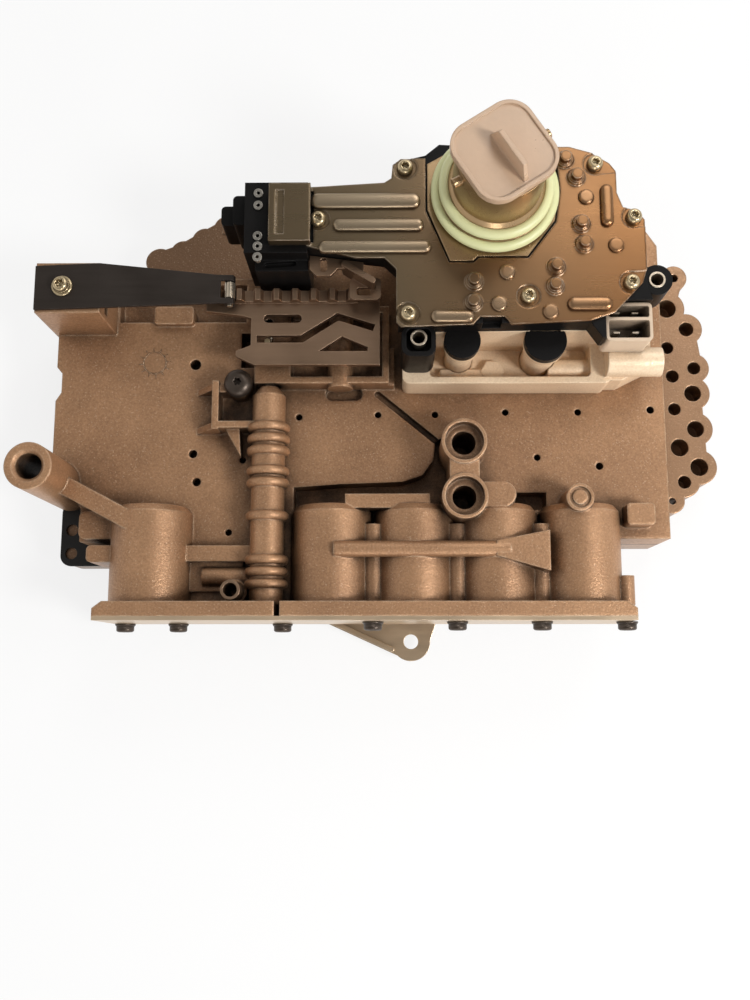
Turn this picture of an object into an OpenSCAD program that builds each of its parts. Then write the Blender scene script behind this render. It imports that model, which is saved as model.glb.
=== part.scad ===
// Hydraulic valve body of an automatic transmission, with its solenoid pack, lying on its transfer plate.
// Millimetres. X runs right along the row of accumulators, Y runs to the back, Z up from the rest face.

/* [Plates and deck] */
// Thickness of the transfer plate
plate_t = 18; // [14:0.5:24]
// Thickness of the steel separator plate
sep_t = 1.5; // [0.8:0.1:3]
// Thickness of the main casting up to its deck
deck_t = 20.5; // [18.5:0.5:26]
// Left edge of the main casting
body_left = -143; // [-150:0.5:-138]
// Right edge of the main casting
body_right = 135.5; // [132:0.5:141]
// Back edge of the main casting
body_back = 106; // [104:0.5:114]
// Front edge of the ledge right of the accumulators
ledge_y = -50; // [-56:0.5:-47]
// Radius of the small deck vents
vent_r = 1.9; // [1:0.1:2.6]
// Depth of the small deck vents
vent_depth = 9; // [4:0.5:14]

/* [Ports] */
// Wall of the transfer plate around each case port
port_wall = 4.2; // [3:0.1:6]
// Depth of the case ports
port_depth = 12; // [6:0.5:13.5]
// Outer radius of the two feed ports
feed_r = 9.9; // [9:0.1:11]
// Counterbore radius of the feed ports
feed_seat_r = 8.4; // [7:0.1:8.8]
// Bore radius of the feed ports
feed_bore_r = 5.2; // [3:0.1:6]
// Depth of the feed port counterbore
feed_seat_depth = 5; // [3:0.5:8]
// Height of the feed ports above the deck
feed_h = 22; // [18:0.5:28]
// X of the feed ports
feed_x = 42.5; // [41:0.1:44]
// Y of the rear feed port
feed_y = -10; // [-12:0.5:-8]
// Distance between the feed ports
feed_gap = 24; // [21:0.5:26]
// Outer radius of the tall bolt tube
tube_r = 10; // [9:0.1:11]
// Bore radius of the tall bolt tube
tube_bore_r = 5.5; // [3.5:0.1:6.2]
// Height of the tall bolt tube above the deck
tube_h = 39; // [30:0.5:44]

/* [Accumulators] */
// Bore of each accumulator
acc_bore = 29; // [26:0.1:30.5]
// Wall around each accumulator bore
acc_wall = 3.6; // [3:0.1:4.6]
// Distance between the accumulators in the row
acc_pitch = 36.7; // [35.5:0.1:38]
// X of the first accumulator in the row
row_x = -15.5; // [-17:0.1:-14.5]
// X of the single accumulator at the left
lone_x = -96.2; // [-98:0.1:-94.5]
// Y of the machined front face
front_y = -85.2; // [-89:0.1:-83]
// Depth of each accumulator bore
acc_depth = 43.6; // [42:0.1:46]
// Wall behind each accumulator bore
acc_cap = 5.6; // [4:0.1:7]
// Thickness of the front flange
flange_t = 6.3; // [5:0.1:8]
// Rim of the flange above the accumulators
flange_rim = 4; // [3:0.1:6]
// Length of each accumulator piston
piston_len = 14; // [12:0.5:16]
// Thickness of each piston crown
piston_crown = 5; // [4:0.1:6]
// Wall of each piston skirt
piston_wall = 2.6; // [2:0.1:3.2]
// Gap between a piston seal and its bore
seal_gap = 0.3; // [0.2:0.05:0.5]
// Wire radius of the accumulator springs
acc_wire_r = 1.3; // [1:0.05:1.5]
// Turns of the accumulator springs
acc_turns = 5.5; // [4:0.5:7]
// Thickness of the accumulator cover
front_cover_t = 1.8; // [1.2:0.1:3]
// Thread radius of the cover screws
front_screw_r = 2.1; // [1.6:0.1:2.4]
// Head radius of the cover screws
front_head_r = 4; // [3.4:0.1:4.6]
// Head height of the cover screws
front_head_h = 3.8; // [3:0.1:6]
// Length of the cover screws in the casting
front_screw_len = 14; // [8:0.5:20]

/* [Ribbed valve bore] */
// X of the valve bore
valve_x = -43.8; // [-44.6:0.1:-43.4]
// Bore of the valve
valve_bore = 8; // [7:0.1:8.4]
// Outer radius of the plain barrel
barrel_r = 7.4; // [6.6:0.1:8]
// Outer radius of the ribs
rib_r = 9.6; // [9:0.1:10.4]
// Distance between neighbouring ribs
rib_pitch = 5.3; // [5:0.1:5.8]
// Width of each rib
rib_w = 4.2; // [3:0.1:4.6]
// Height of the valve axis above the deck
valve_h = 8; // [7:0.1:9]
// Depth of the valve bore from the front face
valve_depth = 97.6; // [95.6:0.1:99.6]
// Gap between a spool and its bore
spool_gap = 0.3; // [0.2:0.05:0.5]
// Length of the switch spool
switch_len = 34; // [30:0.5:36]
// Length of the reverse spool
reverse_len = 24; // [20:0.5:26]
// Length of the spring behind the switch spool
switch_spring_len = 14; // [12:0.5:16]
// Length of the spring behind the reverse spool
reverse_spring_len = 11; // [10:0.5:13]
// Wire radius of the valve springs
valve_wire_r = 0.5; // [0.35:0.05:0.6]
// Turns of the valve springs
valve_turns = 6; // [4:0.5:8]

/* [Selector and manual valve] */
// X of the manual valve
manual_x = -44; // [-44.5:0.1:-43]
// Radius of the manual valve lands
manual_r = 4.8; // [4.2:0.1:4.9]
// Radius of the manual valve necks
manual_neck_r = 3; // [2.4:0.1:3.6]
// Height of the manual valve axis above the deck
manual_h = 5; // [4.8:0.1:5.4]
// Gap between the manual valve and its trough
manual_gap = 0.3; // [0.2:0.05:0.4]
// Height of the trough walls above the deck
trough_h = 11; // [9:0.5:12]
// Height of the selector plate above the deck
selector_h = 18; // [17.5:0.1:20]
// Thickness of the selector plate
selector_t = 2.5; // [2:0.1:3.2]
// Right edge of the selector plate
selector_right = 6; // [4:0.1:8]
// Front edge of the selector plate
selector_front = 24.6; // [23.5:0.1:26]
// Distance between detent notches
detent_pitch = 8.2; // [7.6:0.1:8.6]
// Number of detent steps
detent_steps = 6; // [5:1:6]
// Height of the detent teeth
tooth_h = 3; // [2:0.1:3.6]
// Thickness of the toothed rail
rail_t = 4.2; // [3.5:0.1:5]
// Radius of the link pin
link_r = 1.3; // [1:0.05:1.4]
// Rise of the cam slot, and so the travel of the manual valve
cam_rise = 10.2; // [9:0.1:10.8]

/* [Detent spring] */
// X of the detent roller
roller_x = -60; // [-61:0.1:-59]
// Y of the detent roller
roller_y = 57; // [56.5:0.1:57.5]
// Radius of the detent roller
roller_r = 2.4; // [2:0.1:2.6]
// Length of the detent roller
roller_len = 7; // [6:0.1:8]
// Radius of the roller pin
roller_pin_r = 1.2; // [0.9:0.05:1.4]
// Thickness of the leaf spring
leaf_t = 1.4; // [1:0.1:2]
// Width of the leaf spring at its clamp
leaf_w = 21; // [18:0.5:22]
// Width of the leaf spring at its fork
fork_w = 13; // [12:0.1:14]
// Height of the spring clamp face above the deck
clamp_h = 30; // [29:0.5:32]
// Right edge of the clamp boss
clamp_right = -116; // [-120:0.5:-113]

/* [Solenoid pack] */
// Left edge of the pack
pack_left = 13; // [11.5:0.1:14]
// Right edge of the pack cover
pack_right = 118; // [116:0.1:119]
// Front edge of the pack cover
pack_front = 34; // [33:0.1:35]
// Back edge of the pack cover
pack_back = 113; // [111:0.1:116]
// Front face of the solenoid housing
housing_front = 17; // [16:0.1:18.5]
// Height of the housing front wall
housing_wall_h = 17; // [15:0.5:19]
// Height of the solenoid housing
housing_h = 34; // [31:0.5:38]
// Height of the plastic carrier
carrier_h = 10.6; // [9:0.1:13]
// Thickness of the sheet steel cover
cover_t = 1.4; // [1:0.1:2]
// Height of the embossed shapes on the cover
emboss_h = 1.7; // [0.8:0.1:2.4]
// Bolt radius in the pack bushings
bushing_bore_r = 2.65; // [2:0.05:2.8]
// Outer radius of the pack bushings
bushing_r = 3.5; // [3.2:0.05:3.9]
// Thread radius of the pack screws
pack_screw_r = 1.9; // [1.5:0.1:2.2]
// Head radius of the pack screws
pack_head_r = 3.4; // [3:0.1:3.8]
// Head height of the pack screws
pack_head_h = 3; // [2:0.1:4]
// Radius of the left solenoid can
can_r = 6.2; // [5.5:0.1:6.8]
// Height of the range sensor body
sensor_h = 38; // [34:0.5:40]

/* [Connector] */
// X of the round connector
plug_x = 54.6; // [53.5:0.1:55.5]
// Y of the round connector
plug_y = 91; // [90:0.1:92]
// Outer radius of the connector shell
shell_r = 18.6; // [17:0.1:19.5]
// Wall of the connector shell
shell_wall = 2.4; // [1.8:0.1:3]
// Height of the connector shell above the cover
shell_h = 35; // [30:0.5:38]
// Radius of the lower seal ring at its outside
seal_r = 27; // [26:0.1:27.6]
// Thickness of the seal rings
seal_t = 4.6; // [3.5:0.1:5]
// Width of the dust cap
cap_w = 36; // [32:0.5:37]
// Corner radius of the dust cap
cap_corner = 10; // [7:0.5:12]
// Thickness of the dust cap
cap_t = 3.2; // [2:0.1:4]
// Turn of the dust cap
cap_turn = 33; // [20:1:45]
// Height of the pull fin on the dust cap
fin_h = 8; // [4:0.5:10]
// Radius of the terminal pins
pin_r = 0.9; // [0.6:0.05:1.1]

/* [Bracket] */
// Thickness of the support bracket
bracket_t = 2.5; // [1.5:0.1:4]
// Bolt hole radius in the support bracket
bracket_hole_r = 3.4; // [2.5:0.1:4]
// X of the bracket bolt hole
bracket_x = 20.2; // [18:0.1:22]
// Reach of the bracket bolt hole in front of the transfer plate
bracket_reach = 18.5; // [16:0.5:20]

/* [Hidden] */
$fn = 48;
// How far joined shapes run into each other, and cuts run past a face
lap = 1;
cast_z = plate_t + sep_t;
deck_z = cast_z + deck_t;

// Accumulators: number 0 stands alone, 1 to 4 are the row
acc_z = deck_z;
acc_r = acc_bore / 2 + acc_wall;
function acc_x(i) = i == 0 ? lone_x : row_x + (i - 1) * acc_pitch;
acc_end = front_y + acc_depth;
acc_back = acc_end + acc_cap;
flange_back = front_y + flange_t;
flange_top = acc_z + acc_r + flange_rim;
flange_side = acc_r + 1.4;
gap_x = valve_x + 5;
gap_w = 2.4;
gap_floor = acc_z - 8;
row_right = acc_x(4) + acc_r;
lone_left = lone_x - acc_r;
row_screw_h = 7;
low_screw_h = acc_bore / 2 + 1.5;
screw_boss_r = 4.5;
knob_r = 6;
knob_at = [acc_x(4) - 2.6, acc_back + 1.6];
function row_screw_x(i) = row_x + (i - 0.5) * acc_pitch;
// The three at the left sit below the bores, the others between the barrels
front_screws = concat(
    [for (x = [lone_x - 14.6, lone_x + 9.8, row_x - 23.2]) [x, acc_z - low_screw_h]],
    [for (i = [1:4]) [row_screw_x(i), acc_z + row_screw_h]]
);

// Seats of the pieces in the accumulator bores
seal_r_out = acc_bore / 2 - seal_gap;
piston_r = seal_r_out - 0.3;
groove_r = piston_r - 1.8;
groove_w = 2.2;
rest_gap = 0.3;
piston_back = acc_end - rest_gap;
acc_spring_r = piston_r - piston_wall - 0.7;
acc_spring_top = piston_back - piston_crown - rest_gap;
acc_spring_bottom = front_y + rest_gap;

// Ribbed valve bore: its closed end is at the back, its plug at the front
valve_z = deck_z + valve_h;
valve_end = front_y + valve_depth;
barrel_back = valve_end + 5;
barrel_front = flange_back - lap;
// First rib of each group, and how many follow it to the front
rib_groups = [[-1.2, 3], [-21, 2], [-41, 1], [-60.3, 3]];
spool_r = valve_bore / 2 - spool_gap;
spool_neck_r = spool_r - 1.6;
switch_back = valve_end - rest_gap;
switch_front = switch_back - switch_len;
reverse_back = switch_front - switch_spring_len;
reverse_front = reverse_back - reverse_len;
plug_back = reverse_front - reverse_spring_len;
valve_spring_r = spool_r - 0.2;

// Manual valve and selector
manual_z = deck_z + manual_h;
trough_r = manual_r + manual_gap;
cam_y = selector_front + 11.8;
manual_front = selector_front - 4;
manual_back = cam_y + 6;
trough_left = manual_x - manual_r - 1.6;
trough_right = selector_right + 4;
trough_front = selector_front - 5.6;
trough_end = manual_back + cam_rise + 0.4;
hollow_left = manual_x + manual_r + 5;
cross_x = -12;
cross_r = 5.8;
selector_z = deck_z + selector_h;
selector_top = selector_z + selector_t;
selector_back = roller_y - 3;
selector_left = -57.5;
arm_left = -71;
rail_back = selector_back + rail_t;
notch_z = selector_top + 1.5;
rail_left = roller_x - detent_pitch * 0.62;
rail_right = roller_x + detent_pitch * (detent_steps + 0.9);
selector_travel = detent_pitch * detent_steps;
valley_w = 1.5 * roller_r;
crest_w = detent_pitch - valley_w - 2.4;

// Detent spring
clamp_z = deck_z + clamp_h;
clamp_y = roller_y;
clamp_left = body_left - 1.2;
clamp_front = clamp_y - leaf_w / 2 - 1;
clamp_back = clamp_y + leaf_w / 2 + 0.6;
clamp_screw_x = clamp_left + 12;
// Recess in the deck under the leaf spring, and the back edge of the casting there
step_left = clamp_right + 1;
step_right = -56;
step_y = clamp_y - 5.6;
step_depth = 8;
corner_y = clamp_back + 4.5;
roller_z = notch_z + roller_r + 0.25;
leaf_tip_z = roller_z + 1;
fork_x = roller_x - roller_r - 3;
fork_gap = roller_len + 1;
eye_r = roller_pin_r + 1.1;

// Solenoid pack: heights of its layers
housing_z = deck_z + housing_h;
wall_z = deck_z + housing_wall_h;
carrier_z = housing_z + carrier_h;
cover_z = carrier_z + cover_t;
arm_left_x = -25;
arm_front = pack_front + 29.4;
arm_back = pack_back - 16;
shield_left = -40.5;
shield_front = arm_front + 5.6;
shield_h = 5;
notch_left = plug_x - 29;
notch_right = plug_x + 28;
notch_front = plug_y - 30;
housing_right = pack_right + 10;
left_lug = [pack_left + 9.4, pack_front - 4.2];
right_lug = [pack_right + 4.8, pack_front + 20.4];
lug_w = 14.4;
lug_h = 7;
cans = [[pack_left + 28.3, pack_front - 3, can_r], [pack_left + 63.8, pack_front - 3, can_r + 1.2]];
recess_floor = deck_z + 5;
collar_h = 7;
collar_wall = 1.6;
pack_screw_at = [
    [pack_left + 4, pack_back - 9.4], [pack_right - 20.3, pack_back - 8], [pack_right - 4.7, pack_back - 32],
    [pack_right - 6.8, pack_front + 18], [plug_x + 13.6, pack_front + 12.2], [pack_left + 5,
        pack_front + 4.7],
    [arm_left_x + 5, arm_back - 16.5]
];
// Sunk pads of the cover round its screws
pad_r = 5;
pad_sink = 0.5;
frame_left = pack_right - 17.3;
frame_w = 19.6;
frame_front = pack_front - 6;
frame_l = 16.6;
frame_back = frame_front + frame_l;
frame_wall = 1.3;
frame_z = housing_z - 7.3;
frame_top = carrier_z - 2.5;
sensor_left = shield_left - 11;
sensor_front = arm_front - 2;
sensor_z = carrier_z - sensor_h;
eyelets = [28, 22.5, 8.7, 4.1, -0.7];
bracket_plate_z = selector_top + 7.5;

// Transfer plate and bracket
plate_front = flange_back + 2.6;
tube_at = [body_left + 3, -24];
tube_mouth = 1.4;
bracket_y = plate_front - bracket_reach;
bracket_z = plate_t / 2 - bracket_t / 2;
bracket_foot_h = plate_t - 4;
bracket_left = bracket_x - 50;
bracket_right = bracket_x + 14;
bracket_tip_r = 9;
bracket_screw_x = [bracket_left + 8, bracket_right - 5.4];
bracket_screw_r = 1.6;
sleeve_at = [valve_x - 13.8, flange_back + 4.8];
sleeve_r = 4.2;
sleeve_wall = 1.2;
sleeve_h = 21;
sleeve_sink = 4;
guide_at = [-57.4, 18.7];
guide_boss_h = 11;

// Case ports: X offset from the casting edge, Y and radius
ports = [
    [14.1, 81.1, 2], [9.8, 65.5, 4.5], [18.8, 55.1, 3.5], [9.1, 45.7, 3], [21.5, 35.5, 3.1], [11, 31.5, 3.1],
    [20.3, 23, 4], [11.2, 15.2, 3], [20.8, 5.4, 4], [12.8, -3.6, 4.2], [21.6, -13.1, 4.2], [14.3, -20.3, 3.1]
];
// Ports along the scalloped edge, joined by a rim
outer_ports = [0, 1, 2, 4, 6, 8, 10, 11];
function port_at(i) = [body_right + ports[i][0], ports[i][1]];
ear_at = [body_right + 8.2, -29.4];
ear_r = 1.6;
land_z = plate_t - 0.6;
// Corner bosses of the transfer plate at its back left: X, Y from the back edge and radius
back_bosses = [[-102.5, -15.5, 7], [-91, -11, 6.5], [-80.5, -4.5, 6.5], [-69.5, 1.5, 7]];
// Screws that hold the plates together from below
plate_screw_at = [
    [body_left + 14, 57], [body_left + 12, 12], [-97, 62], [-66, 66], [-20, 94], [48, 94], [118, 92],
    [126, 60], [126, -2], [124, -38], [-100, -16], [-64, -36], [-4, -14], [84, -4], [60, 52]
];
plate_screw_r = 2.4;
plate_head_r = 4.5;
plate_head_h = 4;
plate_screw_len = 12;
// Check balls in pockets under the casting
ball_at = [[-118, 24], [-92, 6], [-24, 12], [16, 62], [62, 26], [100, 40], [104, 2]];
ball_r = 3.175;
ball_seat_r = 1.8;
ball_z = cast_z + sqrt(ball_r * ball_r - ball_seat_r * ball_seat_r) + 0.03;
// Small vents drilled in the deck
vents = [
    [-79, 31, 1.3], [-79, -11, 1], [-77, -24, 1], [-56.3, -14, 0.8], [-62, -47, 0.8], [-31, 6, 0.8],
    [5, 7, 0.8], [31, 7, 0.8], [63, 8, 0.8], [96, 8, 0.8], [129, 9, 0.9], [77, -13, 0.8], [105, -17, 0.9]
];

// A cylinder along Y from y0 to y1
module along_y(x, z, y0, y1, r) {
    translate([x, y0, z]) rotate([-90, 0, 0]) cylinder(h = y1 - y0, r = r);
}

// A cylinder along X from x0 to x1
module along_x(x0, x1, y, z, r) {
    translate([x0, y, z]) rotate([0, 90, 0]) cylinder(h = x1 - x0, r = r);
}

// An upright cylinder at a point
module post(at, z0, z1, r) {
    translate([at[0], at[1], z0]) cylinder(h = z1 - z0, r = r);
}

// A box given by two corners
module block(x0, x1, y0, y1, z0, z1) {
    translate([x0, y0, z0]) cube([x1 - x0, y1 - y0, z1 - z0]);
}

// A flat outline between two heights
module slab(outline, z0, z1) {
    translate([0, 0, z0]) linear_extrude(z1 - z0) polygon(outline);
}

// A straight bar with round ends between two points
function stadium(a, b, w) =
    let (t = atan2(b[1] - a[1], b[0] - a[0]))
    concat(
        [for (k = [0:10]) b + [cos(t - 90 + 18 * k), sin(t - 90 + 18 * k)] * w / 2],
        [for (k = [0:10]) a + [cos(t + 90 + 18 * k), sin(t + 90 + 18 * k)] * w / 2]
    );
module bar(a, b, w, z0, z1) {
    slab(stadium(a, b, w), z0, z1);
}

// Unit normal of a step, and the outline of a strip of even width along a list of points
function side(d) = [-d[1], d[0]] / norm(d);
function mitre(p, i) =
    let (a = side(p[max(i, 1)] - p[max(i, 1) - 1]), b = side(p[min(i, len(p) - 2) + 1] - p[min(i,
        len(p) - 2)]))
    (a + b) / (1 + a * b);
function strip(p, w) = concat(
    [for (i = [0:len(p) - 1]) p[i] + mitre(p, i) * w / 2],
    [for (i = [len(p) - 1:-1:0]) p[i] - mitre(p, i) * w / 2]
);

// A box with round upright edges
module round_block(x0, x1, y0, y1, z0, z1, r) {
    block(x0 + r, x1 - r, y0, y1, z0, z1);
    block(x0, x1, y0 + r, y1 - r, z0, z1);
    for (x = [x0 + r, x1 - r], y = [y0 + r, y1 - r]) post([x, y], z0, z1, r);
}

// A wedge that falls from a wall to the left: its profile is a triangle in XZ
module fin(x0, x1, y, w, z0, z1) {
    translate([0, y + w / 2, 0]) rotate([90, 0, 0]) linear_extrude(w) polygon([[x0, z0], [x1, z0], [x1, z1]]);
}

// A coil of round wire that stands on Z = 0
module coil(r, wire, turns, h) {
    sides = 6;
    steps = 12;
    rings = ceil(turns * steps);
    rise = h - 2 * wire;
    points = [for (i = [0:rings], j = [0:sides - 1])
        let (a = 360 * turns * i / rings, b = 360 * j / sides, q = r - wire + wire * cos(b))
        [q * cos(a), q * sin(a), wire + rise * i / rings + wire * sin(b)]];
    walls = [for (i = [0:rings - 1], j = [0:sides - 1])
        let (k = (j + 1) % sides)
        [i * sides + j, (i + 1) * sides + j, (i + 1) * sides + k, i * sides + k]];
    caps = [[for (j = [0:sides - 1]) j], [for (j = [0:sides - 1]) rings * sides + sides - 1 - j]];
    polyhedron(points, concat(walls, caps), convexity = 10);
}

// A coil along Y between y0 and y1
module coil_y(x, z, y0, y1, r, wire, turns) {
    translate([x, y0, z]) rotate([-90, 0, 0]) coil(r, wire, turns, y1 - y0);
}

// A button-head screw that points down from its seat
module screw_down(at, z, r, len, head_r, head_h, socket_r) {
    difference() {
        union() {
            post(at, z - len, z + lap / 2, r);
            post(at, z, z + head_h * 0.55, head_r);
            translate([at[0], at[1], z + head_h * 0.55]) cylinder(h = head_h * 0.45, r1 = head_r,
                r2 = head_r * 0.62);
        }
        translate([at[0], at[1], z + head_h * 0.45]) cylinder(h = head_h, r = socket_r, $fn = 6);
    }
}

// Outline of the main casting, shared by the plates below it
function cast_plan(front) = [
    [lone_left + lap, front], [row_right - lap, front], [row_right - lap, ledge_y], [body_right, ledge_y],
    [body_right, body_back - 18], [body_right - 12, body_back], [-40, body_back], [-46, corner_y + 10],
    [-54, corner_y], [-110, corner_y], [-112, clamp_back - lap], [body_left, clamp_back - lap],
        [body_left, 30],
    [body_left + 2.5, 27], [body_left + 2.5, 18], [body_left, 14], [body_left, tube_at[1] + 6],
    [-129, -36], [-129, -51], [lone_left + lap, -51]
];

module transfer_plate() {
    color([0.72, 0.5, 0.37])
    difference() {
        union() {
            slab(cast_plan(plate_front), 0, plate_t);
            for (p = ports) post([body_right + p[0], p[1]], 0, land_z, p[2] + port_wall);
            post(ear_at, 0, land_z, ear_r + port_wall);
            for (b = back_bosses) post([b[0], body_back + b[1]], 0, land_z, b[2]);
            slab(concat([[-110, corner_y - lap]], [for (b = back_bosses) [b[0] - b[2] * 0.42,
                body_back + b[1] + b[2] * 0.66]],
                [[-60, body_back + 5], [-38, body_back + 5], [-38, corner_y - lap]]), 0, land_z);
            for (k = [0:len(outer_ports) - 2]) bar(port_at(outer_ports[k]), port_at(outer_ports[k + 1]),
                2 * port_wall, 0, land_z);
            round_block(body_left - 0.4, lone_left + 6, -59.4, -30.6, 0, plate_t, 4.8);
            slab([[body_right - lap, ledge_y + 1], [body_right + 3, ledge_y + 3], [body_right + 7, -32],
                [body_right + 14, -22], [body_right + 16, 0], [body_right + 17, 58], [body_right + 10, 66],
                [body_right + 15, 84], [body_right - lap, 88]], 0, land_z);
            block(-72, 90, body_back - lap, body_back + 6, 0, plate_t);
            post([90, body_back - 3], 0, plate_t, 9);
            post(tube_at, 0, plate_t, tube_r);
        }
        for (p = ports) post([body_right + p[0], p[1]], plate_t - port_depth, plate_t + lap, p[2]);
        post(ear_at, -lap, plate_t + lap, ear_r);
        post(tube_at, -lap, plate_t + lap, tube_bore_r + 0.4);
        for (s = plate_screw_at) post(s, -lap, plate_t + lap, plate_screw_r + 0.3);
        for (s = plate_screw_at) post(s, -lap, plate_head_h + 0.6, plate_head_r + 0.4);
        for (b = ball_at) post(b, plate_t - 5, plate_t + lap, ball_seat_r + 0.6);
        for (x = bracket_screw_x) along_y(x, bracket_z + 5.6, plate_front - lap, plate_front + 9,
            bracket_screw_r + 0.1);
    }
}

module separator_plate() {
    color([0.13, 0.12, 0.11])
    difference() {
        union() {
            slab(cast_plan(plate_front), plate_t, cast_z);
            round_block(body_left - 0.8, lone_left + 6, -60, -30, plate_t, cast_z, 5);
            post(tube_at, plate_t, cast_z, tube_r - 0.6);
        }
        for (y = [-43, -54]) post([body_left + 4.2, y], plate_t - lap, cast_z + lap, 2.8);
        post(tube_at, plate_t - lap, cast_z + lap, tube_bore_r + 0.4);
        for (s = plate_screw_at) post(s, plate_t - lap, cast_z + lap, plate_screw_r + 0.3);
        for (b = ball_at) post(b, plate_t - lap, cast_z + lap, ball_seat_r);
    }
}

// One accumulator barrel with a chamfered closed end
module accumulator_barrel(i) {
    along_y(acc_x(i), acc_z, flange_back - lap, acc_back - 3, acc_r);
    translate([acc_x(i), acc_back - 3, acc_z]) rotate([-90, 0, 0]) cylinder(h = 3, r1 = acc_r,
        r2 = acc_r - 2.4);
}

// One round rib: a ring about the barrel
module barrel_rib(y) {
    translate([valve_x, y, valve_z]) rotate([-90, 0, 0]) rotate_extrude() translate([rib_r - rib_w / 2,
        0]) circle(d = rib_w);
}

// The ribbed barrel of the valve bore on its web
module ribbed_barrel() {
    along_y(valve_x, valve_z, barrel_front, barrel_back - 4, barrel_r);
    translate([valve_x, barrel_back - 4, valve_z]) rotate([-90, 0, 0]) cylinder(h = 4, r1 = barrel_r,
        r2 = barrel_r - 3);
    for (g = rib_groups, k = [0:g[1] - 1]) barrel_rib(g[0] - k * rib_pitch);
    block(valve_x - 4, valve_x + 4, barrel_front, barrel_back - 7, deck_z - lap, valve_z - 2);
}

// The flange the accumulator cover bolts to, parted by a slot beside the ribbed barrel
module front_flange() {
    left = lone_x - flange_side;
    right = acc_x(4) + flange_side;
    slab([[left, front_y], [gap_x, front_y], [gap_x, flange_back], [left + 4, flange_back], [left,
        flange_back - 3]],
        cast_z, flange_top);
    slab([[gap_x + gap_w, front_y], [right, front_y], [right, flange_back - 3], [right - 4, flange_back],
        [gap_x + gap_w, flange_back]], cast_z, flange_top);
    block(gap_x - lap, gap_x + gap_w + lap, front_y, flange_back, cast_z, gap_floor);
}

// Gallery across the row of accumulators with its flared end
module gallery() {
    top = acc_z + acc_r + 2.4;
    y = front_y + 28.9;
    along_x(acc_x(1) + 1.5, acc_x(3) + 4, y, top - 3.5, 3.5);
    slab([[acc_x(3) - 2, y + 3.2], [acc_x(4) - 16, y + 7.8], [acc_x(4) - 16, y - 9.7], [acc_x(3) - 2,
        y - 3.2]],
        acc_z + 4, top - 0.5);
}

module feed_ports() {
    top = deck_z + feed_h;
    for (k = [0, 1]) post([feed_x, feed_y - k * feed_gap], deck_z - 8, top, feed_r);
    block(feed_x - 6.4, feed_x + 6.4, feed_y - feed_gap, feed_y, deck_z - 8, top - 0.6);
    block(feed_x + 5, feed_x + 18, feed_y - feed_gap - 4, feed_y - feed_gap + 7, deck_z - 8, top - 5);
    post([feed_x + 17, feed_y - feed_gap + 1.5], deck_z - 8, top - 5, 5.5);
}

// Walls and webs cast around the guide screw, left of the ribbed barrel
module guide_webs() {
    top = deck_z + guide_boss_h + 1;
    post(guide_at, deck_z - lap, deck_z + guide_boss_h, 5.6);
    block(-69, -66, -2, 20, deck_z - lap, top);
    block(-69, valve_x - 5, -1.5, 1.5, deck_z - lap, top);
    block(-68, guide_at[0], 15, 19, deck_z - lap, top - 1.5);
    fin(-78, -68, 17.5, 3, deck_z - 0.5, top);
    fin(-78, -68, -0.5, 3, deck_z - 0.5, top);
    slab([[-64, 0], [-57, 0], [-56, -14]], deck_z - lap, top - 3);
}

// Bosses, bars and pads around the lone accumulator and the left side
module left_details() {
    post(tube_at, cast_z, deck_z + tube_h, tube_r);
    bar([tube_at[0] + 6, tube_at[1] - 3], [lone_x - 4, acc_back - 9], 8, deck_z - lap, acc_z + acc_r - 1.5);
    round_block(-128, lone_left + 6, -50.5, -38, cast_z, deck_z + 5, 3);
    round_block(lone_left - 9, lone_left + 6, -61, -53.6, cast_z + 4, deck_z + 8, 2);
    round_block(lone_x + 14, valve_x - 5, front_y + 24.6, front_y + 31.6, deck_z - lap, deck_z + 7, 2.4);
    block(lone_x + 16.7, valve_x - 11, front_y + 11.6, front_y + 25.6, deck_z - lap, deck_z + 3);
    along_x(lone_x + 23.7, valve_x - 6, front_y + 18.1, deck_z + 2.4, 4.4);
    post(sleeve_at, deck_z - lap, deck_z + 8, sleeve_r + sleeve_wall);
}

// Clamp boss for the detent spring and the pad in the recess beside it
module clamp_boss() {
    block(clamp_left, clamp_right, clamp_front, clamp_back, cast_z + 2, clamp_z);
    round_block(step_left + 17, step_left + 35, step_y - 2, step_y + 6.4, deck_z - step_depth - lap,
        deck_z + 3.6, 1.5);
}

// Trough that carries the manual valve, hollow beside it, with a passage that crosses the hollow
module manual_trough() {
    difference() {
        block(trough_left, trough_right, trough_front, trough_end + 2, deck_z - lap, deck_z + trough_h);
        block(hollow_left, trough_right - 3, trough_front + 3, trough_end - lap, deck_z + 1,
            deck_z + trough_h + lap);
    }
    along_y(cross_x, deck_z + trough_h - cross_r + 1, trough_front - 1.6, trough_end, cross_r);
    block(trough_right - lap, trough_right + 2.4, trough_front, cam_y, deck_z - lap, deck_z + trough_h - 4);
}

module right_details() {
    round_block(row_right + 1.6, body_right - 9, ledge_y + 5, ledge_y + 14.6, deck_z - lap, deck_z + 10, 1.5);
    block(acc_x(2) - 30.5, acc_x(2) + 6.6, acc_back - 2, acc_back + 4.2, deck_z - 8, acc_z + acc_r - 4);
    post(knob_at, deck_z - 6, acc_z + acc_r + 2, knob_r);
    for (i = [1:3]) along_y(row_screw_x(i), acc_z + row_screw_h, flange_back - lap, acc_end - 3,
        screw_boss_r);
    for (s = [front_screws[0], front_screws[6]])
        along_y(s[0], s[1], flange_back - lap, front_y + front_screw_len + 4, screw_boss_r - 0.7);
}

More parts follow.
